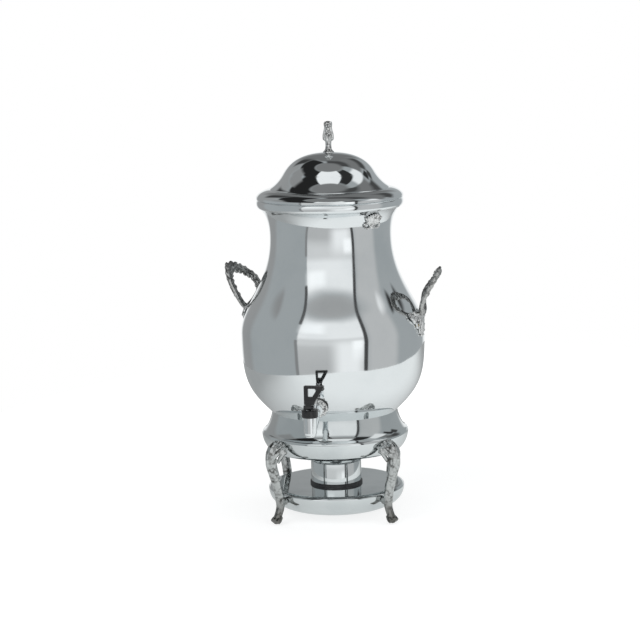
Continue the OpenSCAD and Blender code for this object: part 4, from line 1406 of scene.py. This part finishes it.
@dataclass
class Studio:
    """A plain pale floor, soft light and cards for the silver to mirror.

    The floor's glow is what the silver mirrors of it: darker at its back left,
    and bright at its front right.
    """

    bearing: float = 12.0
    distance: float = 3.1
    height: float = 0.817
    aim_left: float = 0.0192
    aim_height: float = 0.297
    roll: float = 1.45
    focal: float = 2066.0
    image: float = 640.0
    sensor: float = 36.0
    wall: Rgb = (0.385, 0.41, 0.42)
    card_tint: Rgb = (0.985, 1.0, 1.005)
    floor_paint: Rgb = (0.3, 0.305, 0.305)
    floor_glow: Rgb = (0.97, 1, 1)
    floor_centre: Point = (0.08, 0.34, 0)
    floor_size: Point = (0.9, 1.12, 1)
    glow_side: Point = (0.75, -0.65, 0.0)
    glow_span: tuple[float, float, float, float] = (-0.5, 0.3, 0.14, 0.66)
    shown_span: tuple[float, float, float, float] = (0.3, 1.0, 0.78, 1.02)
    lamps: tuple[Lamp, ...] = (
        Lamp("key_softbox", (-1.6, -2.2, 2.6), (0, 0, 0.25), 2.2, 40.0),
        Lamp("fill_softbox", (2.4, -1.4, 1.8), (0, 0, 0.25), 2.0, 22.0),
        Lamp("top_softbox", (0.2, 0.8, 3.0), (0, 0, 0.2), 2.4, 30.0),
    )
    cards: tuple[Card, ...] = (
        Card(-180, -125, -40, 44, 0.34, 14),
        Card(45, 88, -90, 44, 0.56, 12),
        Card(155, 200, -30, 8, 0.95, 14, 5),
        Card(-200, 200, 69, 95, 0.22, 8),
        Card(108, 190, 38, 60, 0.2, 8),
        Card(112, 185, 58, 72, 0.07, 8),
        Card(97, 124, 27, 34, 0.03, 6, 3),
        Card(115, 134, 19, 28, 0.06, 6, 4),
        Card(128, 165, 29, 41, 0.07, 8),
        Card(-165, -45, 45, 69, 0.02, 5, 4),
        Card(-174, -148, 27, 45, 0.05, 8),
        Card(-124, -88, 28, 48, 0.3, 8),
        Card(165, 195, 18, 60, 0.18, 10),
        Card(43, 77, 46, 68, 0.03, 5),
        Card(79, 107, 34, 54, 0.95, 7),
        Card(-48, 45, 50.5, 55, 0.1, 3, 2),
        Card(-43, 41, 54, 71.5, 0.98, 4),
        Card(-45, 40, 44.2, 50.5, 0.4, 2, 3),
        Card(-45, 39, -38, 20, 0.52, 3),
        Card(-45, 39, -8, 40.5, 0.72, 3, 16),
        Card(-45, 39, 10, 40.5, 0.95, 3, 9),
        Card(-44, -12, 22, 37, 1.15, 16, 8),
        Card(2, 38, -32, 2, 0.98, 22, 24),
        Card(24, 38, -12, 3, 1.15, 8, 8),
        Card(-49, -45, -38, 6, 0.26, 2),
        Card(-50, -45, 34, 48, 0.1, 2),
        Card(39, 44, -38, 48, 0.07, 2),
        Card(-44, 39, -44, -34.5, 0.2, 3, 2),
    )

    def world(self) -> None:
        """Light the scene from all round and let metal mirror the cards."""
        world = bpy.data.worlds.new("studio")
        bpy.context.scene.world = world
        nodes = Nodes(cleared(world))
        look = nodes.add("ShaderNodeTexCoord").outputs["Generated"]
        turned = nodes.add(
            "ShaderNodeVectorRotate",
            {"Vector": look, "Angle": math.radians(-self.bearing)},
            rotation_type="Z_AXIS",
        ).outputs[0]
        east, north, up = nodes.add("ShaderNodeSeparateXYZ", {0: turned}).outputs
        away = nodes.math("MULTIPLY", north, -1.0)
        turn = nodes.math("DEGREES", nodes.math("ARCTAN2", east, away))
        rise = nodes.math("DEGREES", nodes.math("ARCSINE", up))
        tone: object = full(self.wall)
        for card in self.cards:
            paint = full(tuple(card.tone * t for t in self.card_tint))
            tone = nodes.mix(self.mask(nodes, turn, rise, card), tone, paint)
        lit = nodes.add("ShaderNodeBackground", {"Color": tone, "Strength": 1.0})
        plain = nodes.add("ShaderNodeBackground", {"Color": full((1, 1, 1)), "Strength": 1.0})
        seen = nodes.add("ShaderNodeLightPath").outputs["Is Camera Ray"]
        looks = {0: seen, 1: lit.outputs[0], 2: plain.outputs[0]}
        chosen = nodes.add("ShaderNodeMixShader", looks)
        nodes.add("ShaderNodeOutputWorld", {"Surface": chosen.outputs[0]})

    @staticmethod
    def mask(nodes: Nodes, turn: Socket, rise: Socket, card: Card) -> Socket:
        """Find how much of a card lies in a direction.

        Args:
            nodes: The world's nodes.
            turn: The direction's bearing from the camera's side.
            rise: Its height over the horizon.
            card: The card.

        Returns:
            A value from 0 to 1.
        """
        off = nodes.math("SUBTRACT", turn, (card.left + card.right) / 2)
        wrapped = nodes.add("ShaderNodeMath", {0: off, 1: 180.0, 2: -180.0}, operation="WRAP")
        beside = nodes.math("ABSOLUTE", wrapped.outputs[0])
        half, blur = (card.right - card.left) / 2, card.soft / 2
        across = nodes.span(beside, half - blur, half + blur, 1.0, 0.0)
        centre = (card.low + card.high) / 2
        above = nodes.math("ABSOLUTE", nodes.math("SUBTRACT", rise, centre))
        half, blur = (card.high - card.low) / 2, (card.fade or card.soft) / 2
        upright = nodes.span(above, half - blur, half + blur, 1.0, 0.0)
        return nodes.math("MULTIPLY", across, upright)

    def floor(self) -> None:
        """Lay the pale floor: near white to the camera, softly lit to the silver."""
        Bench.clear()
        bpy.ops.mesh.primitive_circle_add(vertices=96, radius=1, fill_type="NGON")
        floor = bpy.context.object
        floor.name = "floor"
        size = Matrix.Diagonal((*self.floor_size, 1))
        floor.data.transform(Matrix.Translation(self.floor_centre) @ size)
        material = bpy.data.materials.new("pale_floor")
        nodes = Nodes(cleared(material))
        place = nodes.place()
        paint = nodes.add("ShaderNodeBsdfDiffuse", {"Color": full(self.floor_paint)})
        away = nodes.add("ShaderNodeVectorMath", {0: place}, operation="LENGTH").outputs["Value"]
        far = nodes.span(away, *self.shown_span)
        shown = nodes.add("ShaderNodeEmission", {"Color": full((1, 1, 1)), "Strength": far})
        sides = {0: place, 1: self.glow_side}
        side = nodes.add("ShaderNodeVectorMath", sides, operation="DOT_PRODUCT").outputs["Value"]
        light = {"Color": full(self.floor_glow), "Strength": nodes.span(side, *self.glow_span)}
        mirrored = nodes.add("ShaderNodeEmission", light)
        path = nodes.add("ShaderNodeLightPath").outputs
        glow = nodes.add("ShaderNodeEmission", {"Strength": 0.0})
        for ray, look in (
            ("Is Camera Ray", shown),
            ("Is Glossy Ray", mirrored),
            ("Is Transmission Ray", mirrored),
        ):
            looks = {0: path[ray], 1: glow.outputs[0], 2: look.outputs[0]}
            glow = nodes.add("ShaderNodeMixShader", looks)
        whole = nodes.add("ShaderNodeAddShader", {0: paint.outputs[0], 1: glow.outputs[0]})
        nodes.add("ShaderNodeOutputMaterial", {"Surface": whole.outputs[0]})
        floor.data.materials.append(material)

    @staticmethod
    def hang(lamp: Lamp) -> None:
        """Hang one softbox.

        Args:
            lamp: The softbox.
        """
        Bench.clear()
        bpy.ops.object.light_add(type="AREA", location=lamp.place)
        box = bpy.context.object
        box.name = lamp.name
        box.data.size = lamp.size
        box.data.energy = lamp.power
        box.visible_glossy = False
        aim = Vector(lamp.target) - Vector(lamp.place)
        box.rotation_euler = aim.to_track_quat("-Z", "Y").to_euler()

    def camera(self) -> None:
        """Set up the camera."""
        ahead, aside = compass(self.bearing)
        place = Vector((self.distance * aside, -self.distance * ahead, self.height))
        target = Vector((0, 0, self.aim_height)) - self.aim_left * Vector((ahead, aside, 0))
        data = bpy.data.cameras.new("camera")
        data.sensor_width = self.sensor
        data.lens = self.focal * self.sensor / self.image
        data.clip_end = 50.0
        camera = bpy.data.objects.new("camera", data)
        bpy.context.collection.objects.link(camera)
        look = (target - place).to_track_quat("-Z", "Y").to_matrix().to_4x4()
        lean = Matrix.Rotation(math.radians(-self.roll), 4, "Z")
        camera.matrix_world = Matrix.Translation(place) @ look @ lean
        bpy.context.scene.camera = camera

    def build(self) -> None:
        """Set up world, floor, lamps and camera."""
        self.world()
        self.floor()
        for lamp in self.lamps:
            self.hang(lamp)
        self.camera()
        bpy.context.scene.view_settings.view_transform = "Standard"


def main() -> None:
    """Build the urn's looks and the studio."""
    logging.basicConfig(level=logging.INFO, format="%(message)s")
    shop = FinishShop()
    for kind in (
        PolishedParts, SpunVessel, SpunLid, Burner, ReturnSpring, Rosette, Legs, Handles,
        RimOrnaments, Finial,
    ):
        part = kind(shop)
        part.build()
        part.report()
    Studio().build()


if __name__ == "__main__":
    main()
